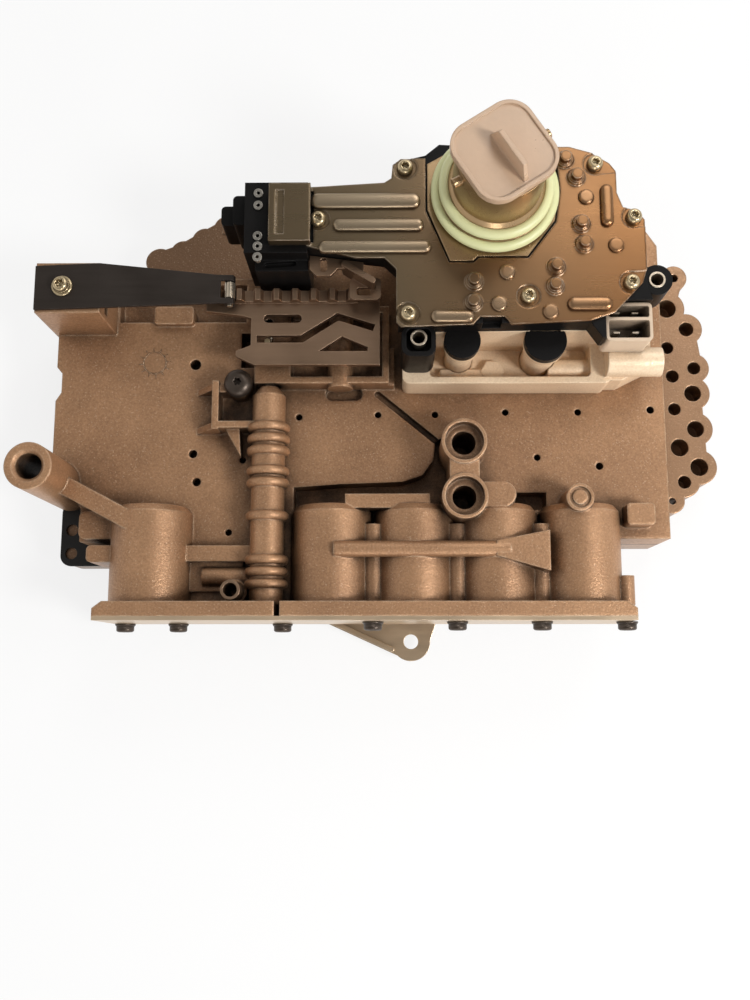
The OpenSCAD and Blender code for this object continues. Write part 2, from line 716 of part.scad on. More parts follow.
// Pockets and grooves sunk in the deck
module deck_pockets() {
    block(step_left, step_right, step_y, corner_y - 3, deck_z - step_depth, deck_z + lap);
    slab([[-33, acc_back - lap], [-33, -26.5], [-12, -25], [16, -24], [25, -21], [30, -14], [31, -5],
        [feed_x, -1],
        [feed_x, acc_back - lap]], deck_z - 11, deck_z + lap);
    block(acc_x(4) - 28, acc_x(4) - 14, acc_back - lap, acc_back + 7, deck_z - 11, deck_z + lap);
    bar([5, selector_front - 8], [31, -5], 3, deck_z - 4, deck_z + lap);
    block(-58, trough_left + lap, cam_y - 7, selector_back - 8, deck_z - 12, deck_z + lap);
    bar([-16, 16.8], [-5, 16.8], 6, deck_z - 3, deck_z + lap);
}

module valve_body_bores() {
    for (i = [0:4]) along_y(acc_x(i), acc_z, front_y - lap, acc_end, acc_bore / 2);
    for (s = front_screws) along_y(s[0], s[1], front_y - lap, front_y + front_screw_len + 2,
        front_screw_r + 0.1);
    along_y(valve_x, valve_z, front_y - lap, valve_end, valve_bore / 2);
    along_y(manual_x, manual_z, trough_front - lap, trough_end, trough_r);
    bar([manual_x, cam_y - 0.6], [manual_x, cam_y + cam_rise + 0.6], 2 * link_r + 1, manual_z,
        deck_z + trough_h + lap);
    block(arm_left - selector_travel - lap, clamp_right + lap, selector_back - 6, selector_back + lap,
        selector_z - lap, selector_top + lap);
    for (k = [0, 1]) {
        at = [feed_x, feed_y - k * feed_gap];
        post(at, deck_z + feed_h - feed_seat_depth, deck_z + feed_h + lap, feed_seat_r);
        post(at, cast_z + 6, deck_z + feed_h, feed_bore_r);
    }
    post(tube_at, cast_z - lap, deck_z + tube_h + lap, tube_bore_r);
    translate([tube_at[0], tube_at[1], deck_z + tube_h - tube_mouth])
        cylinder(h = tube_mouth + 0.1, r1 = tube_bore_r, r2 = tube_bore_r + tube_mouth + 0.1);
    for (v = vents) post([v[0], v[1]], deck_z - vent_depth, deck_z + lap, vent_r * v[2]);
    for (s = plate_screw_at) post(s, cast_z - lap, cast_z + plate_screw_len, plate_screw_r + 0.1);
    for (b = ball_at) post(b, cast_z - lap, cast_z + 2 * ball_r + 1.5, ball_r + 0.6);
    post([clamp_screw_x, clamp_y], clamp_z - 14, clamp_z + lap, 2.6);
    post(guide_at, deck_z - 6, deck_z + guide_boss_h + lap, 2.6);
    post(sleeve_at, deck_z - sleeve_sink, deck_z + sleeve_h + lap, sleeve_r + 0.1);
    for (l = [left_lug, right_lug]) post(l, deck_z - 13, deck_z + lap, bushing_bore_r - 0.4);
    difference() {
        post(knob_at, acc_z + acc_r + 1.2, acc_z + acc_r + 3, knob_r - 1.4);
        post(knob_at, acc_z + acc_r, acc_z + acc_r + 4, knob_r - 2.8);
    }
}

module valve_body() {
    color([0.6, 0.46, 0.35])
    difference() {
        union() {
            difference() {
                slab(cast_plan(flange_back - lap), cast_z, deck_z);
                deck_pockets();
            }
            front_flange();
            for (i = [0:4]) accumulator_barrel(i);
            ribbed_barrel();
            gallery();
            feed_ports();
            guide_webs();
            left_details();
            clamp_boss();
            manual_trough();
            right_details();
        }
        valve_body_bores();
    }
}

module check_balls() {
    color([0.75, 0.76, 0.78]) for (b = ball_at) translate([b[0], b[1], ball_z]) sphere(r = ball_r);
}

module plate_screws() {
    color([0.45, 0.43, 0.4])
    for (s = plate_screw_at) difference() {
        union() {
            post(s, 0.6, plate_head_h + 0.6, plate_head_r);
            post(s, plate_head_h, cast_z + plate_screw_len - 1, plate_screw_r);
        }
        translate([s[0], s[1], -lap]) cylinder(h = 3.4, r = 2.2, $fn = 6);
    }
}

module accumulator_cover() {
    color([0.66, 0.6, 0.52])
    difference() {
        block(lone_x - flange_side, acc_x(4) + flange_side, front_y - front_cover_t, front_y,
            cast_z + lap, flange_top);
        for (s = front_screws) along_y(s[0], s[1], front_y - front_cover_t - lap, front_y + lap,
            front_screw_r + 0.2);
    }
}

// A hexagon flange screw that points back into the casting
module front_screw(s) {
    y = front_y - front_cover_t;
    along_y(s[0], s[1], y - lap / 2, front_y + front_screw_len, front_screw_r);
    along_y(s[0], s[1], y - 1.1, y, front_head_r + 0.6);
    difference() {
        along_y(s[0], s[1], y - front_head_h, y - 0.6, front_head_r);
        translate([s[0], y - front_head_h + 2, s[1]]) rotate([90, 0, 0]) cylinder(h = 4,
            r = front_head_r * 0.55, $fn = 6);
    }
}

module cover_screws() {
    color([0.2, 0.18, 0.16]) for (s = front_screws) front_screw(s);
}

// Cup piston with one seal groove, crown to the back
module accumulator_piston(i) {
    color([0.78, 0.78, 0.76])
    difference() {
        along_y(acc_x(i), acc_z, piston_back - piston_len, piston_back, piston_r);
        along_y(acc_x(i), acc_z, piston_back - piston_len - lap, piston_back - piston_crown,
            piston_r - piston_wall);
        difference() {
            along_y(acc_x(i), acc_z, piston_back - piston_crown / 2 - groove_w / 2,
                piston_back - piston_crown / 2 + groove_w / 2, piston_r + lap);
            along_y(acc_x(i), acc_z, piston_back - piston_crown, piston_back, groove_r);
        }
    }
}

module piston_seal(i) {
    y = piston_back - piston_crown / 2;
    color([0.1, 0.1, 0.1])
    difference() {
        along_y(acc_x(i), acc_z, y - groove_w / 2 + 0.1, y + groove_w / 2 - 0.1, seal_r_out);
        along_y(acc_x(i), acc_z, y - groove_w, y + groove_w, groove_r + 0.1);
    }
}

module accumulator_spring(i) {
    color([0.5, 0.5, 0.5])
    coil_y(acc_x(i), acc_z, acc_spring_bottom, acc_spring_top, acc_spring_r, acc_wire_r, acc_turns);
}

// A spool along Y with lands at both ends and in the middle
module spool_y(y0, y1) {
    land = (y1 - y0) / 5;
    along_y(valve_x, valve_z, y0, y1, spool_neck_r);
    for (k = [0, 2, 4]) along_y(valve_x, valve_z, y0 + k * land, y0 + (k + 1) * land, spool_r);
}

module switch_valve() {
    color([0.8, 0.78, 0.72]) spool_y(switch_front, switch_back);
}

module switch_valve_spring() {
    color([0.5, 0.5, 0.5])
    coil_y(valve_x, valve_z, reverse_back + rest_gap, switch_front - rest_gap, valve_spring_r,
        valve_wire_r, valve_turns);
}

module reverse_valve() {
    color([0.8, 0.78, 0.72]) spool_y(reverse_front, reverse_back);
}

module reverse_valve_spring() {
    color([0.5, 0.5, 0.5])
    coil_y(valve_x, valve_z, plug_back + rest_gap, reverse_front - rest_gap, valve_spring_r,
        valve_wire_r, valve_turns);
}

module bore_plug() {
    color([0.7, 0.7, 0.7])
    difference() {
        along_y(valve_x, valve_z, front_y, plug_back, valve_bore / 2 - 0.02);
        along_y(valve_x, valve_z, front_y - lap, front_y + 4, 1.6);
    }
}

// Spool along Y with three lands and a hole for the link pin
module manual_valve() {
    lands = [[manual_front, manual_front + 6], [manual_front + 9, manual_front + 12], [cam_y - 3,
        manual_back]];
    color([0.82, 0.76, 0.66])
    difference() {
        union() {
            along_y(manual_x, manual_z, manual_front, manual_back, manual_neck_r);
            for (l = lands) along_y(manual_x, manual_z, l[0], l[1], manual_r);
        }
        post([manual_x, cam_y], manual_z - 1, manual_z + manual_r + lap, link_r + 0.02);
    }
}

// Pin of the manual valve, which looks into the cam slot from below
module link_pin() {
    color([0.85, 0.78, 0.62]) post([manual_x, cam_y], manual_z - 0.9, selector_z - 0.4, link_r);
}

// Profile of the toothed rail in XZ: notches lie a pitch apart, with steep left flanks
function rail_profile() = concat(
    [[rail_left, selector_z], [rail_left, notch_z + tooth_h]],
    [for (k = [0:detent_steps]) each [
        [roller_x + k * detent_pitch - valley_w / 2, notch_z],
            [roller_x + k * detent_pitch + valley_w / 2, notch_z],
        [roller_x + (k + 0.5) * detent_pitch - crest_w / 2, notch_z + tooth_h],
        [roller_x + (k + 0.5) * detent_pitch + crest_w / 2, notch_z + tooth_h]]],
    [[rail_right, selector_top + 0.4], [rail_right, selector_z]]
);

module selector_plate() {
    color([0.5, 0.41, 0.34])
    difference() {
        union() {
            slab([[arm_left, selector_back - 4.6], [arm_left, selector_back], [selector_right, selector_back],
                [selector_right, selector_front], [-49.4, selector_front], [selector_left,
                    selector_front + 4],
                [selector_left, selector_front + 6.4], [-51, selector_front + 9], [-51, selector_back - 8],
                [-55, selector_back - 6.8]], selector_z, selector_top);
            translate([0, rail_back, 0]) rotate([90, 0,
                0]) linear_extrude(rail_t + lap) polygon(rail_profile());
        }
        bar([-43.5, selector_back - 8.2], [-30.5, selector_back - 8.2], 3.8, selector_z - lap,
            selector_top + lap);
        slab(strip([[manual_x - 4.4, cam_y], [-28.6, cam_y], [-12.6, cam_y + cam_rise], [3.4,
            cam_y + cam_rise * 0.5]],
            2 * link_r + 0.6), selector_z - lap, selector_top + lap);
        slab([[-21, selector_front + 6.2], [-10.7, selector_front + 13], [0.6, selector_front + 8],
            [0.6, selector_front + 6.2]], selector_z - lap, selector_top + lap);
    }
}

// Outline of the leaf spring seen from above, with its fork at the right
function leaf_plan() = [
    [clamp_left, clamp_y - leaf_w / 2], [clamp_right, clamp_y - leaf_w / 2 + 0.8], [fork_x,
        clamp_y - fork_w / 2],
    [roller_x + 1.8, clamp_y - fork_w / 2], [roller_x + 1.8, clamp_y - fork_gap / 2],
    [fork_x + 1.6, clamp_y - fork_gap / 2], [fork_x + 1.6, clamp_y + fork_gap / 2],
    [roller_x + 1.8, clamp_y + fork_gap / 2], [roller_x + 1.8, clamp_y + fork_w / 2],
    [fork_x, clamp_y + fork_w / 2], [clamp_right, clamp_y + leaf_w / 2], [clamp_left,
        clamp_y + leaf_w / 2 - 1.2]
];

// Side view of the leaf spring in XZ: flat on its clamp, then down to the roller pin
function leaf_side() = [
    [clamp_left - lap, clamp_z], [clamp_right, clamp_z], [roller_x + 3, leaf_tip_z],
    [roller_x + 3, leaf_tip_z + leaf_t], [clamp_right, clamp_z + leaf_t], [clamp_left - lap, clamp_z + leaf_t]
];

module detent_spring() {
    prong = (fork_w - fork_gap) / 2;
    color([0.2, 0.17, 0.14])
    difference() {
        union() {
            intersection() {
                slab(leaf_plan(), roller_z - 4, clamp_z + 4);
                translate([0, clamp_y + leaf_w, 0]) rotate([90, 0,
                    0]) linear_extrude(2 * leaf_w) polygon(leaf_side());
            }
            for (y = [clamp_y - fork_w / 2, clamp_y + fork_gap / 2])
                along_y(roller_x, roller_z, y, y + prong, eye_r);
        }
        along_y(roller_x, roller_z, clamp_y - fork_w, clamp_y + fork_w, roller_pin_r + 0.02);
        post([clamp_screw_x, clamp_y], clamp_z - lap, clamp_z + leaf_t + lap, 2.7);
    }
}

module detent_roller() {
    color([0.72, 0.64, 0.52])
    difference() {
        along_y(roller_x, roller_z, roller_y - roller_len / 2, roller_y + roller_len / 2, roller_r);
        along_y(roller_x, roller_z, roller_y - roller_len, roller_y + roller_len, roller_pin_r + 0.08);
    }
}

module roller_pin() {
    color([0.8, 0.74, 0.62]) along_y(roller_x, roller_z, clamp_y - fork_w / 2 - 0.6,
        clamp_y + fork_w / 2 + 0.6, roller_pin_r);
}

module detent_screw() {
    color([0.72, 0.66, 0.52]) screw_down([clamp_screw_x, clamp_y], clamp_z + leaf_t, 2.5, 13, 4.6, 4, 1.6);
}

// Domed guide screw beside the selector plate
module guide_screw() {
    z = deck_z + guide_boss_h;
    color([0.3, 0.25, 0.21])
    difference() {
        union() {
            post(guide_at, z - 14, z + lap, 2.5);
            post(guide_at, z, z + 1.2, 6.4);
            translate([guide_at[0], guide_at[1], z + 1.2]) intersection() {
                translate([0, 0, -4.6]) sphere(r = 7.9);
                cylinder(h = 6, r = 6.4);
            }
        }
        translate([guide_at[0], guide_at[1], z + 2.6]) cylinder(h = 4, r = 1.8, $fn = 6);
    }
}

module alignment_sleeve() {
    color([0.55, 0.47, 0.4])
    difference() {
        post(sleeve_at, deck_z - sleeve_sink + 0.1, deck_z + sleeve_h, sleeve_r);
        post(sleeve_at, deck_z - sleeve_sink - lap, deck_z + sleeve_h + lap, sleeve_r - sleeve_wall);
    }
}

// Sheet bracket: a foot against the transfer plate and a tongue with the bolt hole
module support_bracket() {
    color([0.72, 0.58, 0.46])
    difference() {
        union() {
            block(bracket_left, bracket_right, plate_front - bracket_t, plate_front, 2, 2 + bracket_foot_h);
            slab([[bracket_left + 2, plate_front - lap], [bracket_left + 2, plate_front - 6],
                [bracket_x - bracket_tip_r * 0.67, bracket_y - bracket_tip_r * 0.73],
                [bracket_x + bracket_tip_r * 0.82, bracket_y - bracket_tip_r * 0.47], [bracket_right - 1,
                    plate_front - 6],
                [bracket_right - 1, plate_front - lap]], bracket_z, bracket_z + bracket_t);
            post([bracket_x, bracket_y], bracket_z, bracket_z + bracket_t, bracket_tip_r);
            bar([bracket_left + 4, plate_front - 5.2], [bracket_x - bracket_tip_r,
                bracket_y - bracket_tip_r * 0.4],
                bracket_t - 0.3, bracket_z + 0.6, bracket_z + 7);
        }
        post([bracket_x, bracket_y], bracket_z - lap, bracket_z + bracket_t + lap, bracket_hole_r);
        for (k = [0, 1]) post([bracket_x - 26 + k * 10, plate_front - 7.4 - k * 2], bracket_z - lap,
            bracket_z + bracket_t + lap, 2.6);
        for (x = bracket_screw_x)
            along_y(x, bracket_z + 5.6, plate_front - bracket_t - lap, plate_front + lap,
                bracket_screw_r + 0.2);
        block(bracket_x - 14, bracket_x + 4, plate_front - bracket_t - lap, plate_front + lap,
            bracket_z + 4.5, plate_t + lap);
    }
}

module bracket_screws() {
    y = plate_front - bracket_t;
    color([0.3, 0.27, 0.24])
    for (x = bracket_screw_x) difference() {
        union() {
            along_y(x, bracket_z + 5.6, y - lap / 2, plate_front + 8, bracket_screw_r);
            along_y(x, bracket_z + 5.6, y - 2, y, 2.7);
        }
        translate([x, y - 1, bracket_z + 5.6]) rotate([90, 0, 0]) cylinder(h = 2, r = 1.3, $fn = 6);
    }
}

module solenoid_housing() {
    recess_right = pack_right - 19;
    color([0.82, 0.72, 0.6])
    difference() {
        union() {
            difference() {
                union() {
                    round_block(pack_left + 3, pack_right - 10, housing_front, pack_back - 9, deck_z,
                        wall_z, 3);
                    block(pack_left + 4, pack_right - 12, pack_front + 1, pack_back - 10, wall_z - lap,
                        housing_z);
                    block(pack_right - 12, housing_right - 2, housing_front + 1.5, pack_front + 6,
                        deck_z, wall_z - 1);
                    block(pack_right - 12, pack_right - 4, frame_front + 0.6, frame_front + 6.6,
                        wall_z - lap, frame_z);
                }
                round_block(pack_left + 15, recess_right, housing_front + 3, pack_front + 1.6,
                    recess_floor, wall_z + lap, 2);
                slab([[pack_right - 8, housing_front], [housing_right, housing_front], [housing_right,
                    housing_front + 9]],
                    deck_z - lap, wall_z + lap);
            }
            along_x(pack_right - 13, housing_right + 1, pack_front - 8.5, wall_z + 3, 6.4);
            post(right_lug, deck_z, housing_z - 8, 5.4);
            block(pack_right - 13, right_lug[0], right_lug[1] - 3, right_lug[1] + 3, deck_z, wall_z);
            along_x(cans[1][0] + 4, recess_right + lap, pack_front - 8.6, recess_floor + 4, 4.6);
            translate([plug_x + 2, housing_front + 8, recess_floor - lap]) cylinder(h = 4.4, r = 5.4,
                $fn = 6);
            block(pack_left + 20, pack_left + 40, housing_front + 5, housing_front + 9,
                recess_floor - lap, recess_floor + 3);
        }
        for (c = cans) post([c[0], c[1]], recess_floor - 2, housing_z + lap, c[2] + 0.3);
        for (l = [left_lug, right_lug]) post(l, deck_z - lap, housing_z + lap, bushing_bore_r + 0.2);
        along_x(housing_right - 5, housing_right + 2, pack_front - 8.5, wall_z + 3, 4.6);
        block(frame_left - 0.4, frame_left + frame_w + lap, frame_front - lap, frame_back + 0.4, frame_z,
            housing_z + lap);
        for (s = pack_screw_at) post(s, carrier_z - 14, housing_z + lap, pack_screw_r + 0.1);
    }
}

module solenoid_cans() {
    color([0.8, 0.7, 0.58]) for (c = cans) post([c[0], c[1]], recess_floor - 2, housing_z - collar_wall,
        c[2]);
}

// Plastic caps over the solenoid cans
module can_collars() {
    color([0.12, 0.1, 0.09])
    for (c = cans) difference() {
        post([c[0], c[1]], housing_z - collar_h, housing_z, c[2] + collar_wall);
        post([c[0], c[1]], housing_z - collar_h - lap, housing_z - collar_wall, c[2] + 0.02);
        block(c[0] - 3 * can_r, c[0] + 3 * can_r, pack_front + 1, pack_front + 3 * can_r,
            housing_z - collar_h - lap, housing_z + lap);
    }
}

// Plan of the steel cover: the notch at the back clears the connector
function cover_plan() = [
    [arm_left_x, arm_front + 5.4], [arm_left_x + 21, arm_front], [pack_left - 5, arm_front], [pack_left,
        arm_front - 5],
    [pack_left, pack_front + 1], [pack_left + 2, pack_front - 1], [pack_left + 32, pack_front],
        [pack_left + 35, pack_front + 3.4],
    [pack_left + 45, pack_front + 3.4], [pack_left + 48, pack_front], [pack_right - 24, pack_front + 1.6],
    [pack_right - 14, pack_front + 5], [pack_right - 2, pack_front + 18], [pack_right, pack_front + 24],
    [pack_right, pack_back - 33], [pack_right - 3.6, pack_back - 28.4], [pack_right - 9, pack_back - 27.6],
    [pack_right - 11.4, pack_back - 21], [pack_right - 11.4, pack_back - 11], [pack_right - 14,
        pack_back - 7.4],
    [pack_right - 21, pack_back - 3], [pack_right - 31, pack_back], [notch_right - 1.4, pack_back],
    [notch_right, plug_y + 2], [notch_right - 2, plug_y - 12], [notch_right - 14, notch_front + 2],
    [plug_x - 7, notch_front + 2], [plug_x - 9, notch_front], [plug_x - 19.4, notch_front], [notch_left,
        plug_y - 7],
    [notch_left, pack_back - 5], [pack_left + 2, pack_back - 5], [pack_left - 1.4, pack_back - 8],
    [pack_left - 2, pack_back - 14], [pack_left - 5, arm_back], [arm_left_x, arm_back - 2]
];

// Plan of the plastic carrier below the cover, without the notch
function carrier_plan() = [
    [arm_left_x + 0.4, arm_front + 5], [pack_left - 5, arm_front + 0.6], [pack_left + 0.8, arm_front - 5],
    [pack_left + 0.8, pack_front + 0.6], [pack_right - 24, pack_front + 1.4], [frame_left - 2,
        frame_front + 0.6],
    [frame_left - 0.4, frame_front + 0.6], [frame_left - 0.4, frame_back + 0.4], [frame_left + frame_w,
        frame_back + 0.4],
    [pack_right - 1, pack_front + 20], [pack_right - 1, pack_back - 34], [pack_right - 12.4, pack_back - 24],
    [pack_right - 12.4, pack_back - 12], [pack_right - 22, pack_back - 4], [pack_right - 32, pack_back - 1],
    [notch_left + 6, pack_back + 2], [notch_left, pack_back - 3], [pack_left, pack_back - 6],
    [pack_left - 1, pack_back - 14], [pack_left - 5.4, arm_back - 0.8], [arm_left_x + 0.4, arm_back - 2.8]
];

module solenoid_carrier() {
    x = left_lug[0];
    y = left_lug[1];
    color([0.07, 0.06, 0.05])
    difference() {
        union() {
            slab(carrier_plan(), housing_z, carrier_z);
            round_block(x - lug_w / 2, x + lug_w / 2, y - 8, pack_front + 1, wall_z, carrier_z - 3, 4);
            post(right_lug, housing_z - 8, carrier_z - 2, 6.6);
            bar(right_lug, [pack_right - 6, right_lug[1] + 3], 9, housing_z, carrier_z - 2);
        }
        round_block(x - lug_w / 2 + 2, x + lug_w / 2 - 2, y - 6, y + 4, carrier_z - 3 - lug_h, carrier_z,
            2.5);
        for (l = [left_lug, right_lug]) post(l, wall_z - lap, carrier_z + lap, bushing_r + 0.02);
        for (s = pack_screw_at) post(s, housing_z - lap, carrier_z + lap, pack_screw_r + 0.3);
        block(pack_left + 36, pack_left + 44, pack_front - lap, pack_front + 3.4, housing_z + 4,
            carrier_z + lap);
    }
}

// Steel bushings in the lugs, where the pack bolts to the gearbox
module pack_bushings() {
    color([0.72, 0.7, 0.66])
    difference() {
        union() {
            post(left_lug, wall_z, carrier_z - 3, bushing_r);
            post(right_lug, housing_z - 8, carrier_z - 1.6, bushing_r);
        }
        for (l = [left_lug, right_lug]) post(l, wall_z - lap, carrier_z + lap, bushing_bore_r);
    }
}

// Long embossed bead with round ends
module bead(a, b, w) {
    bar(a, b, w, cover_z - cover_t / 2, cover_z + emboss_h);
}

// A stake that stands on a small raised dome
module stake(at) {
    translate([at[0], at[1], cover_z - cover_t / 2]) cylinder(h = cover_t / 2 + 1.1, r1 = 4.4, r2 = 3.4);
    post(at, cover_z, cover_z + 4, 2.4);
}

module solenoid_cover() {
    stakes = [
        [pack_right - 33, pack_back - 6], [pack_right - 28.4, pack_back - 14], [pack_right - 27,
            pack_back - 35],
        [pack_right - 26, pack_back - 44], [plug_x + 25.4, pack_front + 25], [plug_x + 24.6,
            pack_front + 16.4],
        [pack_left + 32.5, pack_front + 18.6], [pack_left + 32, pack_front + 9.4]
    ];
    discs = [
        [pack_right - 24.5, pack_back - 23], [pack_right - 12.6, pack_back - 44.6], [plug_x + 4.8,
            pack_front + 22.6],
        [plug_x + 1.1, pack_front + 8.8], [plug_x + 22.5, pack_front + 5.3]
    ];
    color([0.66, 0.52, 0.38])
    difference() {
        union() {
            slab(cover_plan(), carrier_z, cover_z);
            block(shield_left, arm_left_x + 2, shield_front, arm_back - 2.4, cover_z, cover_z + shield_h);
            bead([arm_left_x + 5, arm_back - 8.6], [pack_left + 7, arm_back - 8.6], 5.4);
            bead([arm_left_x + 14, arm_back - 19.4], [pack_left + 9, arm_back - 19.4], 4);
            bead([arm_left_x + 8, arm_back - 29.2], [pack_left + 12, arm_back - 29.2], 4);
            bead([pack_right - 16, pack_back - 20.4], [pack_right - 16, pack_back - 33.6], 4);
            bead([pack_right - 31, pack_front + 8.6], [pack_right - 18, pack_front + 8.6], 4.4);
            bead([pack_left + 17, pack_front + 3.2], [pack_left + 29.6, pack_front + 3.2], 4);
            for (s = stakes) stake(s);
            for (d = discs) post(d, cover_z - cover_t / 2, cover_z + emboss_h * 0.6, 3);
        }
        block(shield_left + 1.2, arm_left_x + 3, shield_front + 1.2, arm_back - 3.6, carrier_z - lap,
            cover_z + shield_h - 1.2);
        block(shield_left + 3, shield_left + 6.4, shield_front + 3, arm_back - 5.4,
            cover_z + shield_h - 0.6, cover_z + shield_h + lap);
        for (s = pack_screw_at) post(s, carrier_z - lap, cover_z + lap, pack_screw_r + 0.3);
        for (s = pack_screw_at) post(s, cover_z - pad_sink, cover_z + lap, pad_r);
        for (k = [1, 2, 3]) bar(pack_screw_at[k], pack_screw_at[k] + [12, 1], 2 * pad_r - 0.6,
            cover_z - pad_sink, cover_z + lap);
    }
}

module pack_screws() {
    color([0.74, 0.64, 0.46]) for (s = pack_screw_at) screw_down(s, cover_z - pad_sink, pack_screw_r, 12,
        pack_head_r, pack_head_h, 1.2);
}

// Black body of the gear range sensor, left of the pack
module range_sensor() {
    color([0.05, 0.045, 0.04])
    difference() {
        union() {
            block(sensor_left, arm_left_x + 0.4, sensor_front + 5, arm_back + 1, sensor_z, carrier_z);
            block(sensor_left + 4, arm_left_x + 0.4, sensor_front, sensor_front + 6, sensor_z, carrier_z - 8);
            round_block(sensor_left - 6.4, sensor_left + 3, arm_back - 14, arm_back - 0.6, sensor_z + 3,
                carrier_z - 9, 2);
            round_block(sensor_left - 12.4, sensor_left - 4, arm_back - 11.6, arm_back - 2.6,
                sensor_z + 3, carrier_z - 15, 2);
            block(arm_left_x, pack_left - 6, arm_front + 6, arm_back - 4, carrier_z - 16, housing_z);
        }
        for (e = eyelets) post([sensor_left + 5.9, arm_front + 1.5 + e], carrier_z - 4, carrier_z + lap, 1.3);
        for (s = pack_screw_at) post(s, carrier_z - 14, carrier_z, pack_screw_r + 0.3);
        bar([sensor_left + 9, sensor_front + 2.6], [arm_left_x - 6, sensor_front + 3.4], 2.4,
            carrier_z - 10, carrier_z);
    }
}

module sensor_eyelets() {
    color([0.8, 0.76, 0.7])
    for (e = eyelets) difference() {
        union() {
            post([sensor_left + 5.9, arm_front + 1.5 + e], carrier_z - 3, carrier_z, 1.28);
            post([sensor_left + 5.9, arm_front + 1.5 + e], carrier_z, carrier_z + 0.8, 2);
        }
        post([sensor_left + 5.9, arm_front + 1.5 + e], carrier_z - 4, carrier_z + 2, 0.8);
    }
}

// Stamped guide in front of the arm: a slotted tongue, a diagonal web and a foot over the selector plate
module guide_bracket() {
    z = housing_z + 2;
    foot_z = bracket_plate_z + 1;
    t = 2;
    x0 = arm_left_x + 1;
    y0 = rail_back + 0.4;
    y1 = arm_front + 4.4;
    color([0.6, 0.49, 0.38])
    difference() {
        union() {
            slab([[x0, y1], [x0, y0 + 3], [x0 + 3, y0], [x0 + 9, y0], [x0 + 12, y0 + 3.4], [x0 + 17,
                y0 + 3.4], [x0 + 23, y0 + 1.6],
                [x0 + 23, y1 - 3.2]], z, z + t);
            bar([x0 + 15, y0 + 5], [x0 + 27, y0 - 2.4], 2.6, foot_z, z + t + 1.4);
            round_block(x0 + 17, x0 + 30.6, y0 - 8, y0 + 1.8, foot_z, foot_z + t, 2);
        }
        bar([x0 + 6, y0 + 3.2], [x0 + 6, y0 + 6.6], 3, z - lap, z + t + lap);
        round_block(x0 + 20, x0 + 26, y0 - 6, y0 - 2.6, foot_z - lap, foot_z + t + lap, 1);
    }
}

// Open two-cell socket at the front right of the pack
module terminal_frame() {
    x1 = frame_left + frame_w;
    y1 = frame_back;
    mid = frame_front + frame_l * 0.58;
    color([0.72, 0.62, 0.54])
    difference() {
        round_block(frame_left, x1, frame_front, y1, frame_z, frame_top, 2);
        round_block(frame_left + frame_wall, x1 - frame_wall, frame_front + frame_wall, mid - frame_wall / 2,
            frame_z + 2.5, frame_top + lap, 1);
        round_block(frame_left + frame_wall, x1 - frame_wall, mid + frame_wall / 2, y1 - frame_wall,
            frame_z + 2.5, frame_top + lap, 1);
    }
}

module terminal_blades() {
    mid = frame_front + frame_l * 0.58;
    color([0.75, 0.68, 0.6])
    for (x = [5.5, 13.5], y = [frame_front + 5, mid + 4])
        block(frame_left + x - 1.4, frame_left + x + 1.4, y - 0.4, y + 0.4, frame_z + 2.5, frame_top - 4.5);
}

// Polygon base and stepped round shell of the main connector
module connector_shell() {
    color([0.36, 0.31, 0.25])
    difference() {
        union() {
            slab([[notch_left + 0.7, plug_y - 6.6], [plug_x - 19, notch_front + 0.7], [plug_x - 9.4,
                notch_front + 0.7],
                [plug_x - 7.4, notch_front + 2.7], [notch_right - 14.4, notch_front + 2.7],
                    [notch_right - 2.7, plug_y - 11.6],
                [notch_right - 0.7, plug_y + 2.2], [notch_right - 2.4, plug_y + 14], [plug_x + 14,
                    plug_y + 20],
                [plug_x - 18, plug_y + 20], [notch_left + 0.7, plug_y + 14]], carrier_z, cover_z + 0.6);
            translate([plug_x, plug_y, cover_z]) rotate_extrude() polygon([
                [0, 0], [seal_r - 2.4, 0], [seal_r - 2.4, 2.2], [seal_r - seal_t, 2.2], [seal_r - seal_t,
                    5.6],
                [seal_r - 3.4, 5.6], [seal_r - 3.4, 6.8], [shell_r + 3, 6.8], [shell_r + 1.6, 11],
                    [shell_r, 13], [shell_r, shell_h],
                [shell_r - shell_wall, shell_h], [shell_r - shell_wall, 15], [0, 15]]);
            for (a = [cap_turn + 174, cap_turn - 2]) translate([plug_x, plug_y,
                cover_z + shell_h - 5]) rotate([0, 0, a])
                translate([shell_r - 1, 0, 0]) rotate([0, 90, 0]) cylinder(h = 4.4, r = 2);
        }
        for (p = pin_places()) post(p, cover_z + 11, cover_z + 15 + lap, pin_r + 0.02);
    }
}

// Rings of terminal pins around the connector axis
function pin_places() = [for (r = [4.5, 10.5], k = [0:(r < 8 ? 4 : 10)])
    let (a = 360 * k / (r < 8 ? 5 : 11)) [plug_x + r * cos(a), plug_y + r * sin(a)]];

module connector_pins() {
    color([0.8, 0.66, 0.36]) for (p = pin_places()) post(p, cover_z + 11, cover_z + 21, pin_r);
}

module seal_ring(r, z) {
    translate([plug_x, plug_y, z + seal_t / 2]) rotate_extrude() translate([r - seal_t / 2,
        0]) circle(d = seal_t);
}

module lower_seal() {
    color([0.72, 0.78, 0.5])
    difference() {
        seal_ring(seal_r, cover_z + 1.4);
        translate([plug_x, plug_y, cover_z]) cylinder(h = 12, r = seal_r - seal_t + 0.02);
        translate([plug_x, plug_y, cover_z]) cylinder(h = 2.22, r = seal_r - 2.38);
        translate([plug_x, plug_y, cover_z + 5.58]) cylinder(h = 4, r = seal_r - 3.38);
    }
}

